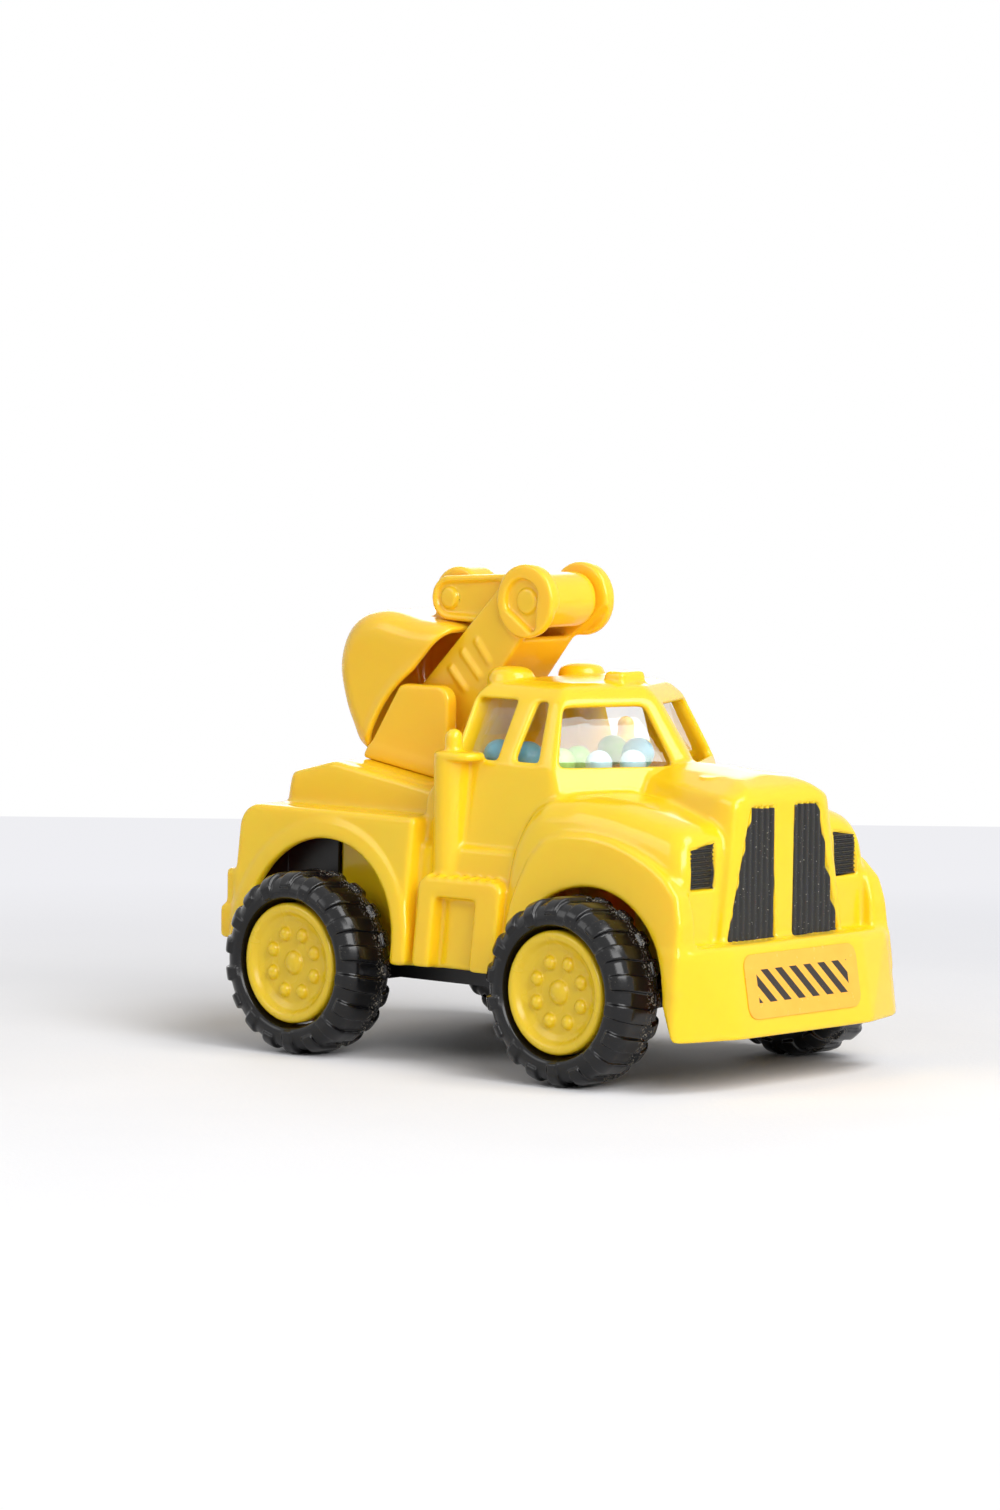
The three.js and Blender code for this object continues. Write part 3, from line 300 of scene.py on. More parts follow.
# Wheels: radii, and distances out from the truck's middle
AXLE_HEIGHT = 17
TYRE_RADIUS = 17.7
TYRE_SHOULDER = 3.4
TYRE_INNER = 26.2
TYRE_SEAM = 31
TYRE_OUTER = 40.1
TYRE_LIP = 12.5
TYRE_LIP_DEPTH = 2.4
TYRE_LUGS = 18
LUG_HEIGHT = 0.75
LUG_SHARE = 0.25
LUG_CENTRE = 0.35
LUG_BENDS = (0.010, -0.012)
SHORT_LUG = 14.6
LONG_LUG = 12.9
SEAM_GAP = 0.5
SEAM_RADIUS = 0.35
HUB_RADIUS = 11.6
HUB_INNER = 30
HUB_FACE = 39.2
HUB_DISH = HUB_FACE - 1.9
HUB_WEB = HUB_FACE - 4.6
HUB_BACK = HUB_INNER + 0.6
HUB_PROFILE = [(-3, HUB_DISH), (8.0, HUB_DISH), (8.5, HUB_DISH + 0.45), (9.0, HUB_DISH + 0.55),
               (9.5, HUB_FACE - 0.7), (10.0, HUB_FACE - 0.15), (10.6, HUB_FACE), (11.2, HUB_FACE - 0.15),
               (HUB_RADIUS, HUB_FACE - 0.8), (HUB_RADIUS, HUB_BACK), (9.4, HUB_BACK), (9.4, HUB_WEB),
               (4, HUB_WEB), (4, HUB_INNER), (-3, HUB_INNER)]
BOLT_COUNT = 8
BOLT_CIRCLE = 5.8
BOLT_RADIUS = 1.4
BOLT_SINK = 0.1
BOSS_RADIUS = 2.3
BOSS_HEIGHT = 1.35

# Guards: behind each rear wheel the black plate goes on back to the end of the arch
GUARD_OUT = 24.8
GUARD_THICK = 1.0
GUARD_BACK = -20.6
GUARD_FRONT = -13.4
GUARD_LOW = 18.2
GUARD_TOP = 41
GUARD_CORNER = (5, 6)

# Sweets: nearly round balls, with a slight swell that differs from one to the next
SWEET_SIZE = 0.985
SWEET_SWELL = 0.02
SWEET_WAVES = (3.1, 2.7, 3.3)
SWEET_SHIFT = 900
SWEET_ROUNDS = 4

# Label on the bumper, in [y, z], with its printed stripes
LABEL_HALF = 16.6
LABEL_LOW = 12.6
LABEL_HIGH = 24.4
LABEL_MIDDLE = (LABEL_LOW + LABEL_HIGH) / 2
LABEL_CORNER = 2.2
LABEL_LIFT = 0.02
LABEL_THICK = 0.25
LABEL_BEVEL = 0.08
STRIPE_PITCH = 2.1
STRIPE_START = 1.0
STRIPES_TALL = 3.0
STRIPES_WIDE = 13.4
PRINT_EDGE = 0.06

# Paint on the grille and lamps
PAINT_WANDER = 0.24
PAINT_EDGE = 0.12
PAINT_DEPTH = 1.2

# Camera, from the photograph's viewing angle: the image is taken as 1000 by 1510
IMAGE_HEIGHT = 1510
FOCAL_PIXELS = 6168
SENSOR = 36
CAMERA_PLACE = (REAR_AXLE_X + 0.8074, -0.8944, 0.1502)
CAMERA_AZIMUTH = math.radians(41.39)
CAMERA_ELEVATION = math.radians(4.51)
CAMERA_ROLL = math.radians(0.60)
CAMERA_CLIP = (0.05, 20)

# Floor and light, in metres and watts: each lamp has a place, a width, a height and a power
FLOOR_BACK = 0.50
FLOOR_FRONT = -1.6
FLOOR_HALF = 1.6
FADE_SPAN = (0.11, 0.34)
FADE_SHARE = 0.9
# Painted shade on the ground: the spans in X and in Y over which it turns greyer and bluer
SHADE_SIDE_SPAN = (-0.15, 0.25)
SHADE_DEPTH_SPAN = (-0.12, 0.08)
AMBIENT = 0.22
AMBIENT_COLOUR = (1.0, 0.99, 0.97, 1)
LAMPS = {"key_softbox": ((0.949, -0.423, 0.60), 0.85, 0.58, 10.0),
         "top_softbox": ((0.49, 0.045, 0.77), 0.50, 0.40, 3.8),
         "fill_softbox": ((-0.45, -0.85, 0.70), 0.70, 0.60, 2.6),
         "back_softbox": ((-0.75, 0.75, 0.45), 0.60, 0.50, 2.0)}
AIM = Vector((0, 0, 0.045))
CLEAR_GLOSS = 0.044


# Grids and fields

class Grid:
    """Sample places in a box. Its axes broadcast against each other."""

    def __init__(self, low, high, step):
        self.low = np.array(low, float)
        self.step = step
        counts = np.ceil((np.array(high, float) - self.low) / step).astype(int) + 1
        self.shape = tuple(int(n) for n in counts)
        axes = [(self.low[k] + step * np.arange(counts[k])).astype(np.float32) for k in range(3)]
        self.x = axes[0][:, None, None]
        self.y = axes[1][None, :, None]
        self.z = axes[2][None, None, :]
        self.half = np.abs(self.y)

    def full(self, field):
        return np.ascontiguousarray(np.broadcast_to(field, self.shape)).astype(np.float32)

    def side(self, points):
        """Distance to an outline in [x, z]."""
        return outline_field(points, self.x, self.z)

    def plan(self, points):
        """Distance to an outline in [x, y]."""
        return outline_field(points, self.x, self.y)

    def pin(self, centre, radius):
        """Distance to a round bar across the truck, placed in [x, z]."""
        return np.hypot(self.x - centre[0], self.z - centre[1]) - radius

    def post(self, centre, radius):
        """Distance to an upright round bar, placed in [x, y]."""
        return np.hypot(self.x - centre[0], self.y - centre[1]) - radius


def blur(field, name, grid):
    """Gaussian blur: flat faces stay where they are, while edges and facets turn round."""
    sigma = ROUNDING[name]
    field = grid.full(field)
    reach = max(1, math.ceil(BLUR_REACH * sigma / grid.step))
    weights = np.exp(-0.5 * (np.arange(reach + 1) * grid.step / sigma) ** 2)
    weights = [float(w) for w in weights / (weights[0] + 2 * weights[1:].sum())]
    for axis in range(3):
        margin = [(reach, reach) if k == axis else (0, 0) for k in range(3)]
        wide = np.moveaxis(np.pad(field, margin, mode="reflect"), axis, 0)
        count = field.shape[axis]
        total = weights[0] * wide[reach:reach + count]
        for i in range(1, reach + 1):
            total += weights[i] * (wide[reach + i:reach + i + count] + wide[reach - i:reach - i + count])
        field = np.moveaxis(total, 0, axis)
    return np.ascontiguousarray(field)


def smooth_min(a, b, fillet):
    radius = FILLET[fillet]
    near = np.maximum(radius - np.abs(a - b), 0) / radius
    return np.minimum(a, b) - near * near * (radius / 4)


def smooth_max(a, b, fillet):
    return -smooth_min(-a, -b, fillet)


def union(fields, fillet):
    return functools.reduce(lambda a, b: smooth_min(a, b, fillet), fields)


def most(*fields):
    return functools.reduce(np.maximum, fields)


def outline_field(points, u, v):
    """Signed distance to a closed outline in the plane of u and v."""
    points = [(float(a), float(b)) for a, b in points]
    nearest = np.inf
    inside = np.zeros(np.broadcast_shapes(u.shape, v.shape), bool)
    for (a, b), (c, d) in zip(points, points[1:] + points[:1]):
        run, rise = c - a, d - b
        share = np.clip(((u - a) * run + (v - b) * rise) / (run * run + rise * rise + 1e-12), 0, 1)
        nearest = np.minimum(nearest, (u - a - share * run) ** 2 + (v - b - share * rise) ** 2)
        if abs(rise) > 1e-9:
            inside ^= ((b > v) != (d > v)) & (u < a + (v - b) * (run / rise))
    return np.where(inside, -1, 1) * np.sqrt(nearest)


def slab(along, low, high):
    return np.abs(along - (low + high) / 2) - abs(high - low) / 2


def round_bar(grid, low, high, radius):
    """Bar with round ends that runs along one axis from low to high."""
    x, y, z = (axis - np.clip(axis, a, b) for axis, a, b in zip((grid.x, grid.y, grid.z), low, high))
    return np.sqrt(x ** 2 + y ** 2 + z ** 2) - radius


def arc(centre, radius, start, end, steps=ARC_STEPS):
    angles = np.radians(np.linspace(start, end, steps + 1))
    return [(centre[0] + radius * math.cos(a), centre[1] + radius * math.sin(a)) for a in angles]


def capsule(start, start_radius, end, end_radius):
    turn = math.degrees(math.atan2(end[1] - start[1], end[0] - start[0]))
    first = arc(start, start_radius, turn + 90, turn + 270, CAPSULE_STEPS)
    return first + arc(end, end_radius, turn - 90, turn + 90, CAPSULE_STEPS)


def closed_curve(points, steps):
    """Smooth closed curve through a few points."""
    points = np.array(points, float)
    before, after, later = (np.roll(points, by, axis=0) for by in (1, -1, -2))
    curve = []
    for a, b, c, d in zip(before, points, after, later):
        for t in np.arange(steps) / steps:
            bend = (2 * a - 5 * b + 4 * c - d) * t * t + (3 * b - a - 3 * c + d) * t ** 3
            curve.append(tuple(b + 0.5 * ((c - a) * t + bend)))
    return curve


def hull_planes(points):
    """Outward planes of the convex hull of a few points: rows of normal and offset."""
    points = np.array(points, float)
    triples = np.array(list(itertools.combinations(range(len(points)), 3)))
    first, second, third = (points[triples[:, k]] for k in range(3))
    normal = np.cross(second - first, third - first)
    size = np.linalg.norm(normal, axis=1)
    wide = size > FLAT
    normal = normal[wide] / size[wide, None]
    offset = (normal * first[wide]).sum(axis=1)
    height = normal @ points.T - offset[:, None]
    rows = np.column_stack([normal, offset])
    rows = np.concatenate([rows[height.max(axis=1) < FLAT], -rows[height.min(axis=1) > -FLAT]])
    return np.unique(np.round(rows, 3), axis=0)


def hull_field(grid, points, name, floored=False):
    """Rounded convex form. One that is not floored stays open below, so that it can be floored later."""
    field = np.float32(-1e3)
    for a, b, c, d in hull_planes(points):
        if floored or c > -0.99:
            field = np.maximum(field, (a * grid.x + b * grid.y) + (c * grid.z - d))
    return blur(field, name, grid)


def both_sides(points):
    return points + [(x, -y, z) for x, y, z in points]


# From a field to a mesh

def surface_net(field, grid):
    """Closed quad mesh of a field's zero level: one point in each cell that the surface crosses."""
    cells = np.array(field.shape) - 1
    stride = np.array([cells[1] * cells[2], cells[2], 1])
    inside = field < 0
    owners, places, quads = [], [], []
    for axis in range(3):
        ahead = np.eye(3, dtype=int)[axis]
        across, up = np.delete(np.eye(3, dtype=int), axis, axis=0)
        crossing = np.argwhere(np.diff(inside, axis=axis))
        start = field[tuple(crossing.T)]
        share = start / (start - field[tuple((crossing + ahead).T)])
        square = (0 * across, across, across + up, up)
        corners = [(crossing - shift) @ stride for shift in square]
        owners += corners
        places += [crossing + share[:, None] * ahead] * len(square)
        ring = np.stack(corners, axis=1)
        flip = (start < 0) == (axis == 1)
        ring[flip] = ring[flip][:, ::-1]
        quads.append(ring)
    places = np.concatenate(places)
    used, index = np.unique(np.concatenate(owners), return_inverse=True)
    count = np.bincount(index)
    middle = np.stack([np.bincount(index, weights=places[:, k]) / count for k in range(3)], axis=1)
    return grid.low + middle * grid.step, np.searchsorted(used, np.concatenate(quads))


def sample(field, grid, points):
    place = (points - grid.low) / grid.step
    base = np.clip(np.floor(place).astype(int), 0, np.array(field.shape) - 2)
    part = np.clip(place - base, 0, 1)
    value = np.zeros(len(points))
    for corner in itertools.product((0, 1), repeat=3):
        weight = np.where(corner, part, 1 - part).prod(axis=1)
        value += weight * field[tuple((base + corner).T)]
    return value


def slope(field, grid, points):
    reach = grid.step * SLOPE_REACH
    rises = [sample(field, grid, points + reach * way) - sample(field, grid, points - reach * way)
             for way in np.eye(3)]
    return np.stack(rises, axis=1) / (2 * reach)


def settle(field, grid, points):
    """Move points onto the zero level."""
    for _ in range(2):
        way = slope(field, grid, points)
        steep = np.maximum((way * way).sum(axis=1), LEAST_SLOPE)
        move = np.clip(sample(field, grid, points) / steep, -grid.step, grid.step)
        points = points - way * move[:, None]
    return points


def add_object(name, data, matrix=Matrix()):
    made = bpy.data.objects.new(name, data)
    bpy.context.scene.collection.objects.link(made)
    made.matrix_world = matrix
    return made


def thinned(mesh, budget):
    """The same surface with fewer triangles, spent where it bends."""
    holder = add_object("thinning", mesh)
    modifier = holder.modifiers.new("fewer", "DECIMATE")
    modifier.ratio = min(1.0, budget / (2 * len(mesh.polygons)))
    graph = bpy.context.evaluated_depsgraph_get()
    fewer = bpy.data.meshes.new_from_object(holder.evaluated_get(graph))
    bpy.data.objects.remove(holder)
    bpy.data.meshes.remove(mesh)
    return fewer


def field_mesh(name, field, grid, budget):
    """Mesh of a field, in metres."""
    field = grid.full(field)
    points, quads = surface_net(field, grid)
    mesh = bpy.data.meshes.new(name)
    mesh.from_pydata(settle(field, grid, points).tolist(), [], quads.tolist())
    mesh = thinned(mesh, budget)
    mesh.name = name
    places = np.empty((len(mesh.vertices), 3))
    mesh.vertices.foreach_get("co", places.ravel())
    points = settle(field, grid, places)
    normal = slope(field, grid, points)
    normal /= np.maximum(np.linalg.norm(normal, axis=1), 1e-9)[:, None]
    mesh.vertices.foreach_set("co", (points * MM).ravel())
    mesh.update()
    mesh.shade_smooth()
    mesh.normals_split_custom_set_from_vertices(normal.tolist())
    return mesh


def moulding(name, make_field):
    """Mesh of one moulding on its own grid."""
    low, high, step, budget = GRIDS[name]
    grid = Grid(low, high, step * COARSE)
    return field_mesh(name, make_field(grid), grid, budget)


def piece(name, mesh, material, body, slot, replaced=(), x=REAR_AXLE_X, z=0.0, turn=0.0):
    """Object in the part's frame that rides on a body."""
    made = add_object(name, mesh, Matrix.Translation((x, 0, z)) @ Matrix.Rotation(turn, 4, "Z"))
    if not mesh.materials:
        mesh.materials.append(material)
    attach(made, body)
    if replaced:
        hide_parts(*replaced)


# Body shell, on the left half

def side_field(grid, inset=0):
    leaning = SIDE_HALF - inset - SIDE_DRAFT * (grid.z - SIDE_HALF_AT)
    return (grid.y - leaning) / math.hypot(1, SIDE_DRAFT)


def deck_top(x):
    return DECK_RIDGE[1] + DECK_SLOPE * (x - DECK_RIDGE[0])


def rear_block(grid):
    corner = (REAR_FACE + REAR_CORNER, REAR_TOP - REAR_CORNER)
    outline = [(REAR_FACE, DEEP), (REAR_FRONT, DEEP), (REAR_FRONT, REAR_TOP)]
    outline += arc(corner, REAR_CORNER, 90, 180)
    return blur(most(side_field(grid), grid.side(outline)), "rear_block", grid)


def deck_mass(grid):
    outline = [(DECK_REAR, DEEP), (DECK_FRONT, DEEP), (DECK_FRONT, deck_top(DECK_FRONT)), DECK_RIDGE]
    outline += DECK_BACK
    corner = (DECK_REAR + DECK_CORNER, DECK_HALF - DECK_CORNER)
    plan = [(DECK_FRONT, DECK_HALF)] + arc(corner, DECK_CORNER, 90, 180)
    plan += [(DECK_REAR, -DECK_HALF), (DECK_FRONT, -DECK_HALF)]
    lean = DECK_DRAFT * (grid.z - REAR_TOP)
    return blur(most(grid.side(outline), grid.plan(plan) + lean), "deck", grid)


def deck_pad(grid):
    rear, front = PAD_ENDS
    outline = [(rear, deck_top(rear) - PAD_SINK), (front, deck_top(front) - PAD_SINK),
               (front, deck_top(front) + PAD_HEIGHT), (rear, deck_top(rear) + PAD_HEIGHT)]
    return blur(most(grid.side(outline), grid.y - PAD_HALF), "pad", grid)


def cab_mass(grid):
    points = []
    for z, rear, ahead in ((DEEP, CAB_REAR, COWL_AHEAD), (COWL_FOOT, CAB_REAR, COWL_AHEAD),
                           (SILL, CAB_SILL_REAR, 0)):
        half = CAB_HALF + SIDE_DRAFT * (SILL - z)
        points += [(rear, half, z), (CAB_CORNER + ahead, half, z), (CAB_MIDDLE + ahead, NEAR_MIDDLE, z)]
    return hull_field(grid, both_sides(points), "cab")


def rocker_mass(grid):
    ends = slab(grid.x, *ROCKER_ENDS)
    return blur(most(side_field(grid, ROCKER_INSET), ends, grid.z - ROCKER_TOP), "rocker", grid)


def greenhouse_mass(grid):
    points = []
    for z, rear, corner, middle in CAB_RINGS:
        points += [(*rear, z), (*corner, z), (middle, NEAR_MIDDLE, z)]
    return hull_field(grid, both_sides(points), "greenhouse")


def hood_mass(grid):
    return hull_field(grid, both_sides(HOOD), "hood")


def fender_mass(grid):
    points = []
    for x, top, half in FENDER_SECTIONS:
        points += [(x, FENDER_INNER, top), (x, FENDER_INNER, FENDER_LOW)]
        points += [(x, half + FENDER_FLARE, FENDER_LOW)]
        points += [(x, half - back, top - drop) for back, drop in SHOULDER]
    return hull_field(grid, points, "fender")


def flare_mass(grid):
    return blur(most(grid.side(FLARE_CREASE), side_field(grid), TRIM_INNER - grid.y), "flare", grid)


def bumper_mass(grid):
    along, across = BUMPER_CHAMFER
    points = []
    for z, front, corner, half in BUMPER_RINGS:
        points += [(BUMPER_BACK, half, z), (corner, half, z), (corner + along, half - across, z),
                   (front, BUMPER_FLAT, z)]
    return hull_field(grid, both_sides(points), "bumper")


def body_masses(grid):
    """Masses that make up the body, each with the height of its floor."""
    rear_floor = np.where(grid.x < REAR_LOW_AT, REAR_LOW, BODY_LOW)
    return [(rear_block(grid), rear_floor), (deck_mass(grid), DECK_FLOOR), (cab_mass(grid), BODY_LOW),
            (rocker_mass(grid), BODY_LOW), (greenhouse_mass(grid), BODY_LOW), (hood_mass(grid), HOOD_LOW),
            (fender_mass(grid), FENDER_LOW), (bumper_mass(grid), BUMPER_LOW)]


def arch_lip(grid):
    x, z, radius = REAR_ARCH
    reach = radius + LIP_WIDTH
    outer = arc((x, z), reach, 0, 180, ARCH_STEPS) + [(x - reach, BODY_LOW), (x + reach, BODY_LOW)]
    far = np.maximum(grid.pin((x, z), radius), 0) / LIP_WIDTH
    proud = side_field(grid, -LIP_PROUD) + LIP_FALL * np.minimum(far, 1) ** 2
    return blur(most(grid.side(outer), proud, TRIM_INNER - grid.y), "lip", grid)


def stack_column(grid):
    x, radius, low, top = COLUMN
    return blur(most(grid.post((x, STACK_OUT), radius), slab(grid.z, low, top)), "column", grid)


def stack_top(grid):
    """Cap on the column, and the pipe on the cap."""
    rear, front, radius, low, top = CAP
    plan = grid.plan(capsule((rear, STACK_OUT), radius, (front, STACK_OUT), radius))
    cap = blur(most(plan, slab(grid.z, low, top)), "cap", grid)
    x, radius, low, top = PIPE
    return smooth_min(cap, round_bar(grid, (x, STACK_OUT, low), (x, STACK_OUT, top), radius), "stack")


def step_mass(grid):
    face = most(grid.side(STEP), side_field(grid), STEP_INNER - grid.y)
    rear, front, floor, top = STEP_RECESS
    recess = most(slab(grid.x, rear, front), floor - grid.y, grid.z - top)
    inner, outer, height, radius = TREAD
    treads = [round_bar(grid, (x, inner, height), (x, outer, height), radius) for x in TREAD_PLACES]
    return smooth_min(blur(most(face, -recess), "step", grid), union(treads, "tread"), "step")


def roof_lamp(grid):
    return blur(outline_field(ROOF_LAMP_PROFILE, grid.post(ROOF_LAMP, 0), grid.z), "roof_trim", grid)


def roof_block(grid):
    rear, front, half, low, top = ROOF_BLOCK
    return blur(most(slab(grid.x, rear, front), grid.y - half, slab(grid.z, low, top)), "roof_trim", grid)


def rear_bumper(grid):
    bars = [most(slab(grid.x, back, REAR_BARS_FRONT), grid.y - half, slab(grid.z, low, top))
            for back, half, low, top in REAR_BARS]
    return blur(np.minimum(*bars), "rear_bumper", grid)


def arch_cut(grid, arch, inner, front):
    x, z, radius = arch
    outline = arc((x, z), radius, 0, 180, ARCH_STEPS)
    outline += [(x - radius, DEEP), (front, DEEP), (front, BUMPER_LOW)]
    return most(grid.side(outline), inner - grid.y)


def window_cuts(grid):
    cuts = []
    for outline in SIDE_WINDOWS:
        opening = blur(grid.side(outline) + WINDOW_CORNER, "window", grid) - WINDOW_CORNER
        cuts.append(most(opening, slab(grid.y, *WINDOW_DEPTH)))
    through = np.concatenate([np.add(SCREEN, SCREEN_REACH), np.subtract(SCREEN, SCREEN_REACH)])
    return cuts + [hull_field(grid, through, "screen", floored=True)]


def inner_parts(grid):
    rib = most(grid.y - TRAY_RIB_HALF, slab(grid.z, TRAY_TOP - TRAY_RIB_DEPTH, TRAY_TOP - TRAY_THICK - GAP))
    parts = [most(slab(grid.x, x - TRAY_RIB_THICK / 2, x + TRAY_RIB_THICK / 2), rib) for x in TRAY_RIBS]
    for x, y, top in POSTS:
        parts.append(most(grid.post((x, y), POST_RADIUS), slab(grid.z, BODY_LOW, top)))
    return parts + [most(grid.side(ARCH_WALL), slab(grid.y, *ARCH_WALL_SPAN))]


def body_field(grid):
    masses = body_masses(grid)
    hollow = union([mass + WALL for mass, _ in masses], "hollow")
    outer = [smooth_max(mass, floor - grid.z, "floor") for mass, floor in masses]
    outer = union(outer + [flare_mass(grid)], "mass")
    trim = [rear_bumper(grid), deck_pad(grid), roof_lamp(grid), roof_block(grid), arch_lip(grid),
            step_mass(grid), stack_column(grid)]
    shell = smooth_max(union([outer] + trim, "trim"), -hollow, "wall")
    arches = [arch_cut(grid, REAR_ARCH, REAR_ARCH_INNER, REAR_ARCH[0] + REAR_ARCH[2]),
              arch_cut(grid, FRONT_ARCH, FRONT_ARCH_INNER, FRONT_TOE)]
    for cut in arches + window_cuts(grid):
        shell = smooth_max(shell, -cut, "cut")
    for outline, floor in ((GRILLE, GRILLE_FLOOR), (LAMP, LAMP_FLOOR)):
        recess = most(outline_field(outline, grid.y, grid.z), floor - grid.x)
        shell = smooth_max(shell, -recess, "recess")
    return blur(union([shell, stack_top(grid)] + inner_parts(grid), "inner"), "body", grid)


def make_body(material):
    """Body made on the left half, which starts on the middle plane, and mirrored."""
    name = "body_moulding"
    low, high, step, budget = GRIDS[name]
    grid = Grid(low, high, step * COARSE)
    half = grid.full(body_field(grid))
    field = np.concatenate([half[:, :0:-1], half], axis=1)
    whole = Grid((low[0], -(grid.shape[1] - 1) * grid.step, low[2]), high, grid.step)
    whole.shape = field.shape
    mesh = field_mesh(name, field, whole, budget)
    piece(name, mesh, material, "truck", "body_yellow", ["body_shell"])


# Ribbed panels in the grille and lamp recesses

def rib_panel(name, outline, floor, side, across, pitch, material):
    """Closed ribbed skin over a recess floor. Ribs run up the grille, or across a lamp."""
    (y0, low), (y1, _), (y2, high1), (y3, high0) = outline
    over_u, over_v = RIB_OVERLAP
    u = np.linspace(-over_u, 1 + over_u, RIB_SAMPLES)[None, :]
    v = np.linspace(-over_v, 1 + over_v, RIB_SAMPLES)[:, None]
    start = y0 + (y3 - y0) * v
    y = start + (y1 + (y2 - y1) * v - start) * u
    z = low + (high0 + (high1 - high0) * u - low) * v
    wave = 0.5 + 0.5 * np.cos(2 * math.pi * (z if across else y) / pitch)
    x = floor + RIB_LIFT + RIB_HEIGHT * pitch * wave ** RIB_SHARPNESS
    front = np.stack([x, side * y, z], axis=-1).reshape(-1, 3)
    back = front.copy()
    back[:, 0] = floor - RIB_BACK
    count = len(front)
    index = np.arange(count).reshape(RIB_SAMPLES, RIB_SAMPLES)
    skin = np.stack([index[:-1, :-1], index[:-1, 1:], index[1:, 1:], index[1:, :-1]], axis=-1).reshape(-1, 4)
    edge = np.concatenate([index[0], index[1:, -1], index[-1, -2::-1], index[-2:0:-1, 0]])
    after = np.roll(edge, -1)
    wall = np.stack([edge, edge + count, after + count, after], axis=1)
    faces = np.concatenate([skin, skin[:, ::-1] + count, wall])[:, ::side]
    mesh = bpy.data.meshes.new(name)
    mesh.from_pydata((np.concatenate([front, back]) * MM).tolist(), [], faces.tolist())
    mesh.shade_smooth()
    mesh.set_sharp_from_angle(angle=RIB_CREASE)
    piece(name, mesh, material, "truck", "body_yellow")


# Digger arm

def boom_point(down, across):
    x = KNUCKLE[0] - down * math.cos(BOOM_LEAN) + across * math.sin(BOOM_LEAN)
    z = KNUCKLE[1] - down * math.sin(BOOM_LEAN) - across * math.cos(BOOM_LEAN)
    return (x, z)


def boom_back(down):
    return -(BOOM_BACK + BOOM_TAPER * down)


def pad_top(x):
    return deck_top(x) + PAD_HEIGHT + GAP


def foot_top(x):
    return pad_top(x) + FOOT_THICK


def bracket_field(grid):
    rear, front = BRACKET_ENDS
    base = [(rear, pad_top(rear)), (front, pad_top(front))]
    corner = (front - BRACKET_CORNER, BRACKET_TOP - BRACKET_CORNER)
    cheek = base + arc(corner, BRACKET_CORNER, 0, 90) + BRACKET_TIP
    foot = base + [(front, foot_top(front)), (rear + FOOT_SLANT, foot_top(rear))]
    cheeks = most(grid.side(cheek), slab(grid.half, BRACKET_INNER, BRACKET_HALF))
    floor = most(grid.side(foot), grid.half - BRACKET_HALF)
    return blur(smooth_min(cheeks, floor, "bracket"), "bracket", grid)


def boom_beam(grid):
    """Tapered beam, hollow from behind."""
    lean = math.degrees(BOOM_LEAN)
    front, rear = BOOM_FRONT_HEEL[0], BOOM_REAR_HEEL[0]
    side = [BOOM_FRONT_HEEL, (front, foot_top(front) + GAP), (rear, foot_top(rear) + GAP), BOOM_REAR_HEEL,
            boom_point(BOOM_FOOT, boom_back(BOOM_FOOT))]
    side += arc(KNUCKLE, KNUCKLE_RADIUS, lean + 90, lean - 60, KNUCKLE_STEPS)
    side += [boom_point(BOOM_NECK, BOOM_FRONT)]
    floor, ceiling = BOOM_FRONT - BOOM_WALL, BOOM_OPEN[0]
    inside = [(BOOM_FLOOR, floor), (BOOM_FLOOR, boom_back(BOOM_FLOOR) + BOOM_WALL),
              (ceiling, boom_back(ceiling) + BOOM_WALL), (BOOM_OPEN[1], -FAR), (-FAR, -FAR), (-FAR, FAR),
              (BOOM_NECK, FAR), (BOOM_NECK, floor)]
    hollow = most(grid.side([boom_point(*place) for place in inside]), grid.half - BOOM_INNER)
    return most(grid.side(side), grid.half - BOOM_HALF, -hollow)


def boom_field(grid):
    half = grid.half
    disc = most(grid.pin(KNUCKLE, KNUCKLE_RADIUS), slab(half, BOOM_HALF - DISC_SINK, DISC_HALF))
    pocket = grid.side(capsule(POCKET_HEAD, POCKET_RADII[0], POCKET_FOOT, POCKET_RADII[1]))
    pocket = most(pocket, DISC_HALF - POCKET_DEPTH - half)
    boss = most(grid.pin(KNUCKLE, KNUCKLE_BOSS), slab(half, *KNUCKLE_BOSS_SPAN))
    bore = most(grid.pin(KNUCKLE, TRUNNION_RADIUS + GAP), half - TRUNNION_HALF - GAP)
    body = most(smooth_min(boom_beam(grid), disc, "disc"), -pocket)
    body = blur(most(np.minimum(body, boss), -bore), "boom", grid)
    for bar in SLASHES:
        away = np.hypot(grid.side(bar), half - BOOM_HALF + SLASH_SINK)
        body = smooth_min(body, away - SLASH_SINK - SLASH_PROUD, "slash")
    return body


def stick_field(grid):
    half = grid.half
    outline = grid.side(capsule(BUCKET_PIVOT, STICK_END_RADIUS, KNUCKLE, BARREL_RADIUS))
    trunnion = most(grid.pin(KNUCKLE, TRUNNION_RADIUS), half - TRUNNION_HALF)
    slot = most(grid.x - (BUCKET_PIVOT[0] + LUG_RADIUS + LUG_ROOM), half - STICK_ARM)
    pocket = most(outline + STICK_RIM, STICK_HALF - STICK_POCKET_DEPTH - half, grid.x - STICK_POCKET_END)
    boss = most(grid.pin(BUCKET_PIVOT, STICK_BOSS), slab(half, *STICK_BOSS_SPAN))
    bore = most(grid.pin(BUCKET_PIVOT, PIVOT_RADIUS + GAP), half - STICK_HALF + PIVOT_SHORT)
    body = most(np.minimum(most(outline, half - STICK_HALF), trunnion), -slot, -pocket)
    return blur(most(np.minimum(body, boss), -bore), "stick", grid)


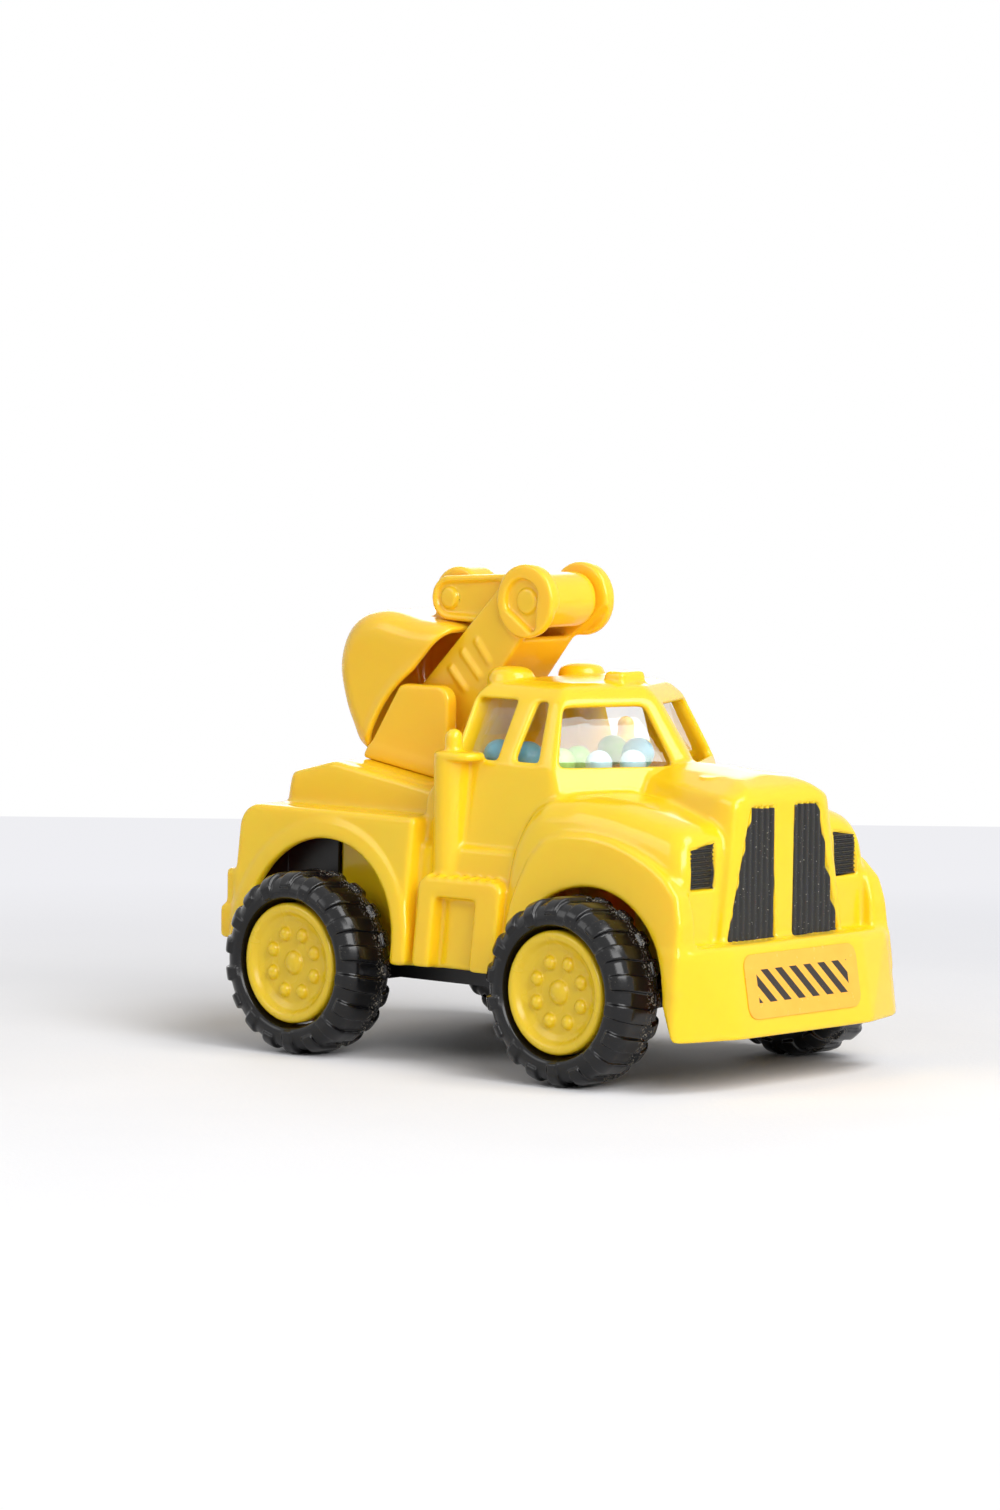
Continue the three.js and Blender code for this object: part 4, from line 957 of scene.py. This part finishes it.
def bucket_field(grid):
    half = grid.half
    flat = grid.full(grid.side(closed_curve(BUCKET_OUTLINE, CURVE_STEPS)) + BUCKET_EDGE)
    across = grid.full(half - BUCKET_HALF + BUCKET_EDGE)
    blob = rounded_corner(flat, across) - BUCKET_EDGE
    hollow = blob + BUCKET_WALL
    rim = grid.pin(BUCKET_RIM, BUCKET_RIM_RADIUS)
    notch = [(NOTCH_TOP, boom_back(0) - NOTCH_ROOM), (BOOM_FOOT, boom_back(BOOM_FOOT) - NOTCH_ROOM),
             (BOOM_FOOT, FAR), (NOTCH_TOP, FAR)]
    notch = grid.side([boom_point(*place) for place in notch])
    lug = most(grid.side(capsule(LUG_FOOT, LUG_FOOT_RADIUS, BUCKET_PIVOT, LUG_RADIUS)), half - LUG_HALF)
    pivots = most(grid.pin(BUCKET_PIVOT, PIVOT_RADIUS), half - STICK_HALF + PIVOT_SHORT)
    lip = BUCKET_LIP * np.clip(1 - rim / LIP_REACH, 0, 1)
    scoop = most(blob - lip, -hollow, -rim)
    scoop = most(smooth_min(scoop, most(lug, -hollow), "bucket_lug"), -notch)
    return blur(np.minimum(scoop, pivots), "bucket", grid)


def rounded_corner(u, v):
    """Field of a corner between two faces, which is round outside."""
    return np.minimum(np.maximum(u, v), 0) + np.hypot(np.maximum(u, 0), np.maximum(v, 0))


def make_arm(material):
    for node, body, make_field in (("arm_bracket", "truck", bracket_field), ("boom", "truck", boom_field),
                                   ("stick", "stick", stick_field), ("bucket", "bucket", bucket_field)):
        name = node + "_moulding"
        piece(name, moulding(name, make_field), material, body, "arm_yellow", [node])


# Wheels: made for the truck's right side, where the outer face looks along -Y

def tyre_carcass(radius, out):
    """Ring with round shoulders, under the lugs."""
    u = radius - (TYRE_RADIUS - LUG_HEIGHT - TYRE_SHOULDER)
    v = slab(out, TYRE_INNER + LUG_HEIGHT, TYRE_OUTER - LUG_HEIGHT / 2) + TYRE_SHOULDER
    return rounded_corner(u, v) - TYRE_SHOULDER


def tyre_field(grid):
    """Smooth round carcass with two rows of raised lugs: every other outer lug runs down the side wall."""
    radius = grid.pin((0, 0), 0)
    out = -grid.y
    carcass = tyre_carcass(radius, out)
    pitch = 2 * math.pi / TYRE_LUGS
    angle = np.arctan2(grid.z, grid.x)

    def lugs(centre, every, bend, low, high, foot):
        turned = angle - centre * pitch - bend * (out - TYRE_SEAM)
        turned = turned - every * pitch * np.round(turned / (every * pitch))
        return most((np.abs(turned) - LUG_SHARE * pitch) * radius, slab(out, low, high), foot - radius)

    outer_bend, inner_bend = LUG_BENDS
    rows = [lugs(LUG_CENTRE, 2, outer_bend, TYRE_SEAM, FAR, SHORT_LUG),
            lugs(LUG_CENTRE + 1, 2, outer_bend, TYRE_SEAM, FAR, LONG_LUG),
            lugs(LUG_CENTRE + 0.5, 1, inner_bend, -FAR, TYRE_SEAM - SEAM_GAP, SHORT_LUG)]
    raised = most(carcass - LUG_HEIGHT, out - TYRE_OUTER)
    tyre = union([carcass] + [most(raised, row) for row in rows], "tyre_lug")
    crown = TYRE_RADIUS - LUG_HEIGHT
    seam = np.hypot(radius - crown, out - TYRE_SEAM + SEAM_GAP / 2) - SEAM_RADIUS
    tyre = smooth_min(tyre, seam, "seam")
    bore = HUB_RADIUS + GAP
    lip = np.maximum(out - HUB_FACE + TYRE_LIP_DEPTH, 0) * ((TYRE_LIP - bore) / TYRE_LIP_DEPTH)
    return blur(smooth_max(tyre, bore + lip - radius, "rim"), "tyre", grid)


def hub_field(grid):
    """Dished wheel with a round rim, eight domed bolts and a domed boss."""
    radius = grid.pin((0, 0), 0)
    out = -grid.y
    wheel = blur(outline_field(HUB_PROFILE, radius, out), "hub", grid)
    proud = np.maximum(out - HUB_DISH + BOLT_SINK, 0)
    for i in range(BOLT_COUNT):
        angle = 2 * math.pi * (i + 0.5) / BOLT_COUNT
        across = grid.pin((BOLT_CIRCLE * math.cos(angle), BOLT_CIRCLE * math.sin(angle)), 0)
        wheel = smooth_min(wheel, np.hypot(across, proud) - BOLT_RADIUS, "bolt")
    flat = np.maximum(out - HUB_DISH, 0) * (BOSS_RADIUS / BOSS_HEIGHT)
    return smooth_min(wheel, np.hypot(radius, flat) - BOSS_RADIUS, "bolt")


def make_wheels(tyre_material, hub_material):
    tyre = moulding("tyre", tyre_field)
    hub = moulding("hub", hub_field)
    for end, x in (("rear", 0.0), ("front", WHEELBASE * MM)):
        for hand, turn in (("right", 0.0), ("left", math.pi)):
            body = end + "_wheels"
            name = f"{end}_{hand}"
            where = dict(x=REAR_AXLE_X + x, z=AXLE_HEIGHT * MM, turn=turn)
            piece(name + "_tread", tyre, tyre_material, body, "tyre_black", [name + "_tyre"], **where)
            piece(name + "_wheel", hub, hub_material, body, "hub_yellow", [name + "_hub"], **where)


# Guards, sweets and label

def guard_field(grid):
    along, down = GUARD_CORNER
    plate = [(GUARD_FRONT, GUARD_LOW), (GUARD_FRONT, GUARD_TOP), (GUARD_BACK + along, GUARD_TOP),
             (GUARD_BACK, GUARD_TOP - down), (GUARD_BACK, GUARD_LOW)]
    return blur(most(grid.side(plate), slab(grid.half, GUARD_OUT - GUARD_THICK, GUARD_OUT)), "guard", grid)


def make_guards(material):
    for hand, _ in HANDS:
        name = f"rear_{hand}_guard"
        piece(name, moulding(name, guard_field), material, "truck", "chassis_black")


def make_sweets(materials):
    for node in sorted(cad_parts):
        if not node.startswith("sweet_") or node == "sweet_tray":
            continue
        low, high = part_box(node)
        middle = (low + high) / 2
        form = bmesh.new()
        bmesh.ops.create_icosphere(form, subdivisions=SWEET_ROUNDS, radius=(high.x - low.x) / 2)
        shifts = (SWEET_SHIFT * middle.x, 1, 0)
        for vert in form.verts:
            way = vert.co.normalized()
            waves = [math.sin(k * w + shift) for k, w, shift in zip(SWEET_WAVES, way, shifts)]
            vert.co *= SWEET_SIZE + SWEET_SWELL * math.prod(waves)
        mesh = bpy.data.meshes.new(node + "_ball")
        form.to_mesh(mesh)
        form.free()
        mesh.transform(Matrix.Translation(middle))
        mesh.shade_smooth()
        colour = node.split("_")[1]
        piece(node + "_ball", mesh, materials[colour], "truck", "sweet_" + colour, [node], x=0.0)


def bumper_front(z):
    return FRONT_END - BUMPER_RAKE * (z - BUMPER_LOW) / (BUMPER_BREAK - BUMPER_LOW)


def make_label(material):
    half_y = LABEL_HALF - LABEL_CORNER
    half_z = (LABEL_HIGH - LABEL_LOW) / 2 - LABEL_CORNER
    ring = []
    for quarter, (y, z) in enumerate(((1, 1), (-1, 1), (-1, -1), (1, -1))):
        ring += arc((y * half_y, z * half_z), LABEL_CORNER, 90 * quarter, 90 * quarter + 90)
    form = bmesh.new()
    layers = []
    for lift in (LABEL_LIFT, LABEL_THICK):
        places = [(bumper_front(z + LABEL_MIDDLE) + lift, y, z + LABEL_MIDDLE) for y, z in ring]
        layers.append([form.verts.new((x * MM, y * MM, z * MM)) for x, y, z in places])
    below, above = layers
    form.faces.new(below[::-1])
    form.faces.new(above)
    for i in range(len(ring)):
        form.faces.new((below[i - 1], below[i], above[i], above[i - 1]))
    bmesh.ops.bevel(form, geom=[e for e in form.edges if all(v in above for v in e.verts)],
                    offset=LABEL_BEVEL * MM, segments=2, affect="EDGES")
    mesh = bpy.data.meshes.new("plain_label")
    form.to_mesh(mesh)
    form.free()
    piece("plain_label", mesh, material, "truck", "label_paper", ["front_label"])


# Materials

def linear(code):
    """Linear colour from a hexadecimal screen colour."""
    parts = [int(code[i:i + 2], 16) / 255 for i in (0, 2, 4)]
    return [p / 12.92 if p <= 0.04045 else ((p + 0.055) / 1.055) ** 2.4 for p in parts] + [1.0]


class Nodes:
    """Short hand for a node tree. A value is a number, a colour code or the output of another node."""

    def __init__(self, tree):
        self.tree = tree

    def set(self, socket, value):
        if isinstance(value, bpy.types.NodeSocket):
            self.tree.links.new(value, socket)
        else:
            socket.default_value = linear(value) if isinstance(value, str) else value

    def node(self, kind, *values, **settings):
        """New node with its first inputs filled in order."""
        made = self.tree.nodes.new(kind)
        for key, value in settings.items():
            setattr(made, key, value)
        for socket, value in zip(made.inputs, values):
            self.set(socket, value)
        return made

    def math(self, operation, *values):
        return self.node("ShaderNodeMath", *values, operation=operation).outputs[0]

    def ranged(self, value, low, high, start, end):
        return self.node("ShaderNodeMapRange", value, low, high, start, end).outputs["Result"]

    def mix(self, share, first, second):
        made = self.node("ShaderNodeMix", share, data_type="RGBA")
        for socket, value in zip([s for s in made.inputs if s.type == "RGBA"], (first, second)):
            self.set(socket, value)
        return [s for s in made.outputs if s.type == "RGBA"][0]

    def blend(self, share, first, second):
        return self.node("ShaderNodeMixShader", share, first, second).outputs["Shader"]


class Shader(Nodes):
    """Nodes of one material, placed by the object's own coordinates."""

    def __init__(self, name):
        self.material = bpy.data.materials.new(name)
        self.material.use_nodes = True
        super().__init__(self.material.node_tree)
        self.surface = self.tree.nodes["Principled BSDF"]
        self.place = self.node("ShaderNodeTexCoord").outputs["Object"]

    def put(self, **values):
        for key, value in values.items():
            self.set(self.surface.inputs[key.replace("_", " ")], value)

    def axis(self, which):
        return self.node("ShaderNodeSeparateXYZ", self.place).outputs[which]

    def noise(self, scale, detail=2.0):
        made = self.node("ShaderNodeTexNoise", self.place)
        self.set(made.inputs["Scale"], scale)
        self.set(made.inputs["Detail"], detail)
        return made.outputs["Fac"]

    def cloud(self, start, end, scale, detail=2.0, low=0.3, high=0.7):
        """Noise that goes from one value to another."""
        return self.ranged(self.noise(scale, detail), low, high, start, end)

    def bump(self, strength, distance, scale, detail=2.0):
        made = self.node("ShaderNodeBump")
        self.set(made.inputs["Strength"], strength)
        self.set(made.inputs["Distance"], distance * MM)
        self.set(made.inputs["Height"], self.noise(scale, detail))
        self.put(Normal=made.outputs["Normal"])


def moulded(name, colour, deep, rough, glow):
    """Glossy moulded plastic: faint flow marks in colour and gloss, and light that soaks in a little."""
    shader = Shader(name)
    tone = shader.mix(shader.cloud(0.0, 0.4, scale=45, low=0.35), colour, deep)
    gloss = shader.cloud(rough - 0.02, rough + 0.03, scale=180)
    shader.put(Base_Color=tone, Roughness=gloss, IOR=1.49, Subsurface_Weight=glow, Subsurface_Scale=0.003,
               Subsurface_Radius=(1.0, 0.55, 0.08))
    shader.bump(strength=0.03, distance=0.2, scale=110, detail=1)
    return shader, tone, gloss


def inside_mask(shader, outline, wobble):
    """How far a place lies inside a mirrored [y, z] outline on the nose, in metres."""
    y = shader.math("ABSOLUTE", shader.axis("Y"))
    z = shader.axis("Z")
    depth = None
    for (a, b), (c, d) in zip(outline, outline[1:] + outline[:1]):
        length = math.hypot(c - a, d - b)
        inward = (-(d - b) / length, (c - a) / length)
        offset = -(inward[0] * a + inward[1] * b) * MM
        side = shader.math("MULTIPLY_ADD", y, inward[0], offset)
        side = shader.math("MULTIPLY_ADD", z, inward[1], side)
        depth = side if depth is None else shader.math("MINIMUM", depth, side)
    return shader.math("ADD", depth, wobble)


def body_material():
    """Body plastic, with black paint on the grille and headlamps whose edge wanders a little."""
    shader, colour, gloss = moulded("body_plastic", "F9CD1F", "F5C116", rough=0.15, glow=0.45)
    wander = shader.cloud(-PAINT_WANDER * MM, PAINT_WANDER * MM, scale=170, detail=0.5, low=0.2, high=0.8)
    paint = shader.math("MAXIMUM", inside_mask(shader, GRILLE, wander), inside_mask(shader, LAMP, wander))
    nose = shader.math("SUBTRACT", shader.axis("X"), (LAMP_FLOOR - PAINT_DEPTH) * MM)
    paint = shader.ranged(shader.math("MINIMUM", paint, nose), 0.0, PAINT_EDGE * MM, 0.0, 1.0)
    specks = shader.cloud(0.0, 0.55, scale=2600, detail=1, low=0.72, high=0.76)
    black = shader.mix(specks, "262624", "A8A69C")
    shader.put(Base_Color=shader.mix(paint, colour, black),
               Roughness=shader.math("MULTIPLY_ADD", paint, 0.08, gloss))
    return shader.material


def black_material(name, colour, rough, dust, band=None):
    """Black plastic with fine pale dust, gathered along a band of the tread where one is given."""
    shader = Shader(name)
    grains = shader.noise(scale=2600)
    patch = shader.cloud(0.0, 1.0, scale=60, detail=3, low=0.45)
    dusty = shader.math("MULTIPLY", shader.ranged(grains, 0.70, 0.75, 0.0, dust), patch)
    if band:
        away = shader.math("ABSOLUTE", shader.math("ADD", shader.axis("Y"), band * MM))
        near = shader.ranged(away, 0.4 * MM, 2.2 * MM, 1.0, 0.0)
        line = shader.math("MULTIPLY", shader.ranged(grains, 0.56, 0.66, 0.0, 0.85), near)
        dusty = shader.math("MAXIMUM", dusty, line)
    tone = shader.mix(shader.cloud(0.0, 1.0, scale=90), colour, "0E0E10")
    gloss = shader.cloud(rough - 0.03, rough + 0.05, scale=500, detail=3)
    shader.put(Base_Color=shader.mix(dusty, tone, "8C8578"), IOR=1.42,
               Roughness=shader.math("MULTIPLY_ADD", dusty, 0.5, gloss))
    shader.bump(strength=0.05, distance=0.2, scale=300)
    return shader.material


def sweet_material(name, colour, pale):
    """Sugar shell: soft sheen and cloudy colour."""
    shader = Shader(name)
    cloud = shader.cloud(0.0, 0.7, scale=420, detail=3, low=0.35)
    shader.put(Base_Color=shader.mix(cloud, colour, pale), Roughness=shader.cloud(0.28, 0.42, scale=900),
               Subsurface_Weight=0.15, Subsurface_Scale=0.002)
    shader.bump(strength=0.15, distance=0.3, scale=800)
    return shader.material


def label_material():
    """Plain label: printed colour with dark slanted stripes along its middle."""
    shader = Shader("label_print")
    y, z = shader.axis("Y"), shader.axis("Z")
    wave = shader.math("PINGPONG", shader.math("ADD", y, z), STRIPE_PITCH * MM)
    ink = shader.ranged(wave, STRIPE_START * MM, (STRIPE_START + 0.08) * MM, 0.0, 1.0)
    height = shader.math("ABSOLUTE", shader.math("SUBTRACT", z, LABEL_MIDDLE * MM))
    width = shader.math("ABSOLUTE", y)
    for away, reach in ((height, STRIPES_TALL), (width, STRIPES_WIDE)):
        within = shader.ranged(away, reach * MM, (reach + PRINT_EDGE) * MM, 1.0, 0.0)
        ink = shader.math("MULTIPLY", ink, within)
    ground = shader.mix(shader.cloud(0.0, 0.5, scale=300), "FAB83E", "F5AC32")
    shader.put(Base_Color=shader.mix(ink, ground, "2A2118"), Roughness=shader.cloud(0.16, 0.28, scale=800))
    shader.bump(strength=0.05, distance=0.3, scale=120)
    return shader.material


def steel_material():
    """Plain steel with a fine grain."""
    shader = Shader("drawn_steel")
    tone = shader.mix(shader.noise(scale=200), "B4B5B6", "9B9C9E")
    shader.put(Base_Color=tone, Roughness=shader.cloud(0.25, 0.45, scale=1500, detail=3), Metallic=1.0)
    return shader.material


def clear_material():
    """Clear styrene with slight ripples: what it does not reflect passes straight through."""
    shader = Shader("clear_styrene")
    facing = shader.node("ShaderNodeLayerWeight", 0.5).outputs["Facing"]
    grazing = shader.math("POWER", facing, 5.0)
    gloss = shader.math("MULTIPLY_ADD", grazing, 1 - CLEAR_GLOSS, CLEAR_GLOSS)
    tone = shader.mix(shader.noise(scale=80), "FAFFFF", "EFFAFA")
    shader.put(Base_Color=tone, Roughness=shader.cloud(0.02, 0.06, scale=500), Metallic=1.0, Alpha=gloss)
    shader.bump(strength=0.06, distance=0.3, scale=160)
    return shader.material


def cloth_material():
    """Pale cloth that turns into a ground for the camera, away from the truck and its shadow, with painted
    shade: greyer and bluer towards the side ahead of the truck, and white towards the camera.
    """
    shader = Shader("pale_cloth")
    tone = shader.mix(shader.noise(scale=14, detail=4), "F4F4F6", "ECECEF")
    shader.put(Base_Color=tone, Roughness=0.9, Specular_IOR_Level=0.1)
    shader.bump(strength=0.15, distance=0.4, scale=900)
    reach = shader.node("ShaderNodeVectorMath", shader.place, operation="LENGTH").outputs["Value"]
    camera = shader.node("ShaderNodeLightPath").outputs["Is Camera Ray"]
    seen = shader.math("MULTIPLY", shader.ranged(reach, *FADE_SPAN, 0.0, FADE_SHARE), camera)
    # Painted shade: the ground turns greyer and bluer towards the side ahead of the truck, and stays white
    # towards the camera
    pale = shader.mix(shader.ranged(shader.axis("X"), *SHADE_SIDE_SPAN, 0.0, 1.0), "F1F1F5", "D2D6E0")
    pale = shader.mix(shader.ranged(shader.axis("Y"), *SHADE_DEPTH_SPAN, 0.0, 1.0), "FFFFFF", pale)
    ground = shader.node("ShaderNodeEmission", pale).outputs["Emission"]
    faded = shader.blend(seen, shader.surface.outputs["BSDF"], ground)
    shader.set(shader.tree.nodes["Material Output"].inputs["Surface"], faded)
    return shader.material


def dress(node, material, bevel=0.0):
    """New finish, and softened edges, on a CAD node that stays."""
    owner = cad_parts[node]
    if not owner.material_slots:
        owner.data.materials.append(material)
    for place in owner.material_slots:
        place.material = material
    if bevel:
        modifier = owner.modifiers.new("soft_edges", "BEVEL")
        modifier.width = bevel * MM
        modifier.segments = 2
        modifier.limit_method = "ANGLE"
        modifier.angle_limit = math.radians(35)


# Camera, floor, world and lamps

def make_camera():
    lens = bpy.data.cameras.new("camera")
    lens.sensor_fit = "AUTO"
    lens.sensor_width = SENSOR
    lens.lens = SENSOR * FOCAL_PIXELS / IMAGE_HEIGHT
    lens.clip_start, lens.clip_end = CAMERA_CLIP
    aim = Matrix.Rotation(CAMERA_AZIMUTH, 4, "Z") @ Matrix.Rotation(math.pi / 2 - CAMERA_ELEVATION, 4, "X")
    turn = aim @ Matrix.Rotation(CAMERA_ROLL, 4, "Z")
    bpy.context.scene.camera = add_object("camera", lens, Matrix.Translation(CAMERA_PLACE) @ turn)


def make_floor():
    turn = Matrix.Rotation(CAMERA_AZIMUTH, 4, "Z")
    level = (AXLE_HEIGHT - TYRE_RADIUS) * MM
    corners = ((-FLOOR_HALF, FLOOR_FRONT), (FLOOR_HALF, FLOOR_FRONT), (FLOOR_HALF, FLOOR_BACK),
               (-FLOOR_HALF, FLOOR_BACK))
    mesh = bpy.data.meshes.new("floor")
    mesh.from_pydata([turn @ Vector((x, y, level)) for x, y in corners], [], [(0, 1, 2, 3)])
    mesh.materials.append(cloth_material())
    add_object("floor", mesh)


def make_world():
    """White for the camera, glossy and clear rays; a pale even light for the rest."""
    world = bpy.data.worlds.new("studio")
    world.use_nodes = True
    bpy.context.scene.world = world
    world.node_tree.nodes.clear()
    nodes = Nodes(world.node_tree)
    rays = nodes.node("ShaderNodeLightPath").outputs
    seen = nodes.math("MAXIMUM", rays["Is Camera Ray"], rays["Is Glossy Ray"])
    seen = nodes.math("MAXIMUM", seen, rays["Is Transmission Ray"])
    even = nodes.node("ShaderNodeBackground", AMBIENT_COLOUR, AMBIENT).outputs[0]
    white = nodes.node("ShaderNodeBackground", (1, 1, 1, 1)).outputs[0]
    nodes.node("ShaderNodeOutputWorld", nodes.blend(seen, even, white))


def make_lamps():
    for name, (place, width, height, power) in LAMPS.items():
        light = bpy.data.lights.new(name, "AREA")
        light.shape = "RECTANGLE"
        light.size = width
        light.size_y = height
        light.energy = power
        way = (AIM - Vector(place)).to_track_quat("-Z", "Y")
        add_object(name, light, Matrix.Translation(place) @ way.to_matrix().to_4x4())


def main():
    make_camera()
    body = body_material()
    arm = moulded("arm_plastic", "FFC928", "FCBD1E", rough=0.17, glow=0.45)[0].material
    hub = moulded("hub_plastic", "E0BE1E", "D6B116", rough=0.26, glow=0.2)[0].material
    tyre = black_material("tyre_vinyl", "060607", rough=0.19, dust=0.5, band=TYRE_SEAM)
    chassis = black_material("chassis_plastic", "080808", rough=0.35, dust=0.3)
    steel = steel_material()
    make_body(body)
    for hand, side in HANDS:
        rib_panel(f"grille_{hand}", GRILLE, GRILLE_FLOOR, side, False, GRILLE_PITCH, body)
        rib_panel(f"headlamp_{hand}", LAMP, LAMP_FLOOR, side, True, LAMP_PITCH, body)
    make_arm(arm)
    make_guards(chassis)
    make_wheels(tyre, hub)
    make_sweets({"blue": sweet_material("sweet_blue", "4FA3C4", "6FB9D4"),
                 "green": sweet_material("sweet_green", "93CB4C", "B0DC72"),
                 "pale": sweet_material("sweet_pale", "AEDCE8", "CDEBF2")})
    make_label(label_material())
    dress("chassis", chassis, bevel=0.35)
    dress("filler_plug", chassis, bevel=0.3)
    dress("cab_glazing", clear_material())
    dress("sweet_tray", body)
    for node in sorted(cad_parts):
        if node.endswith("_axle") or node.startswith("chassis_screw"):
            dress(node, steel)
    make_floor()
    make_world()
    make_lamps()
    bpy.context.scene.view_settings.view_transform = "Standard"


main()
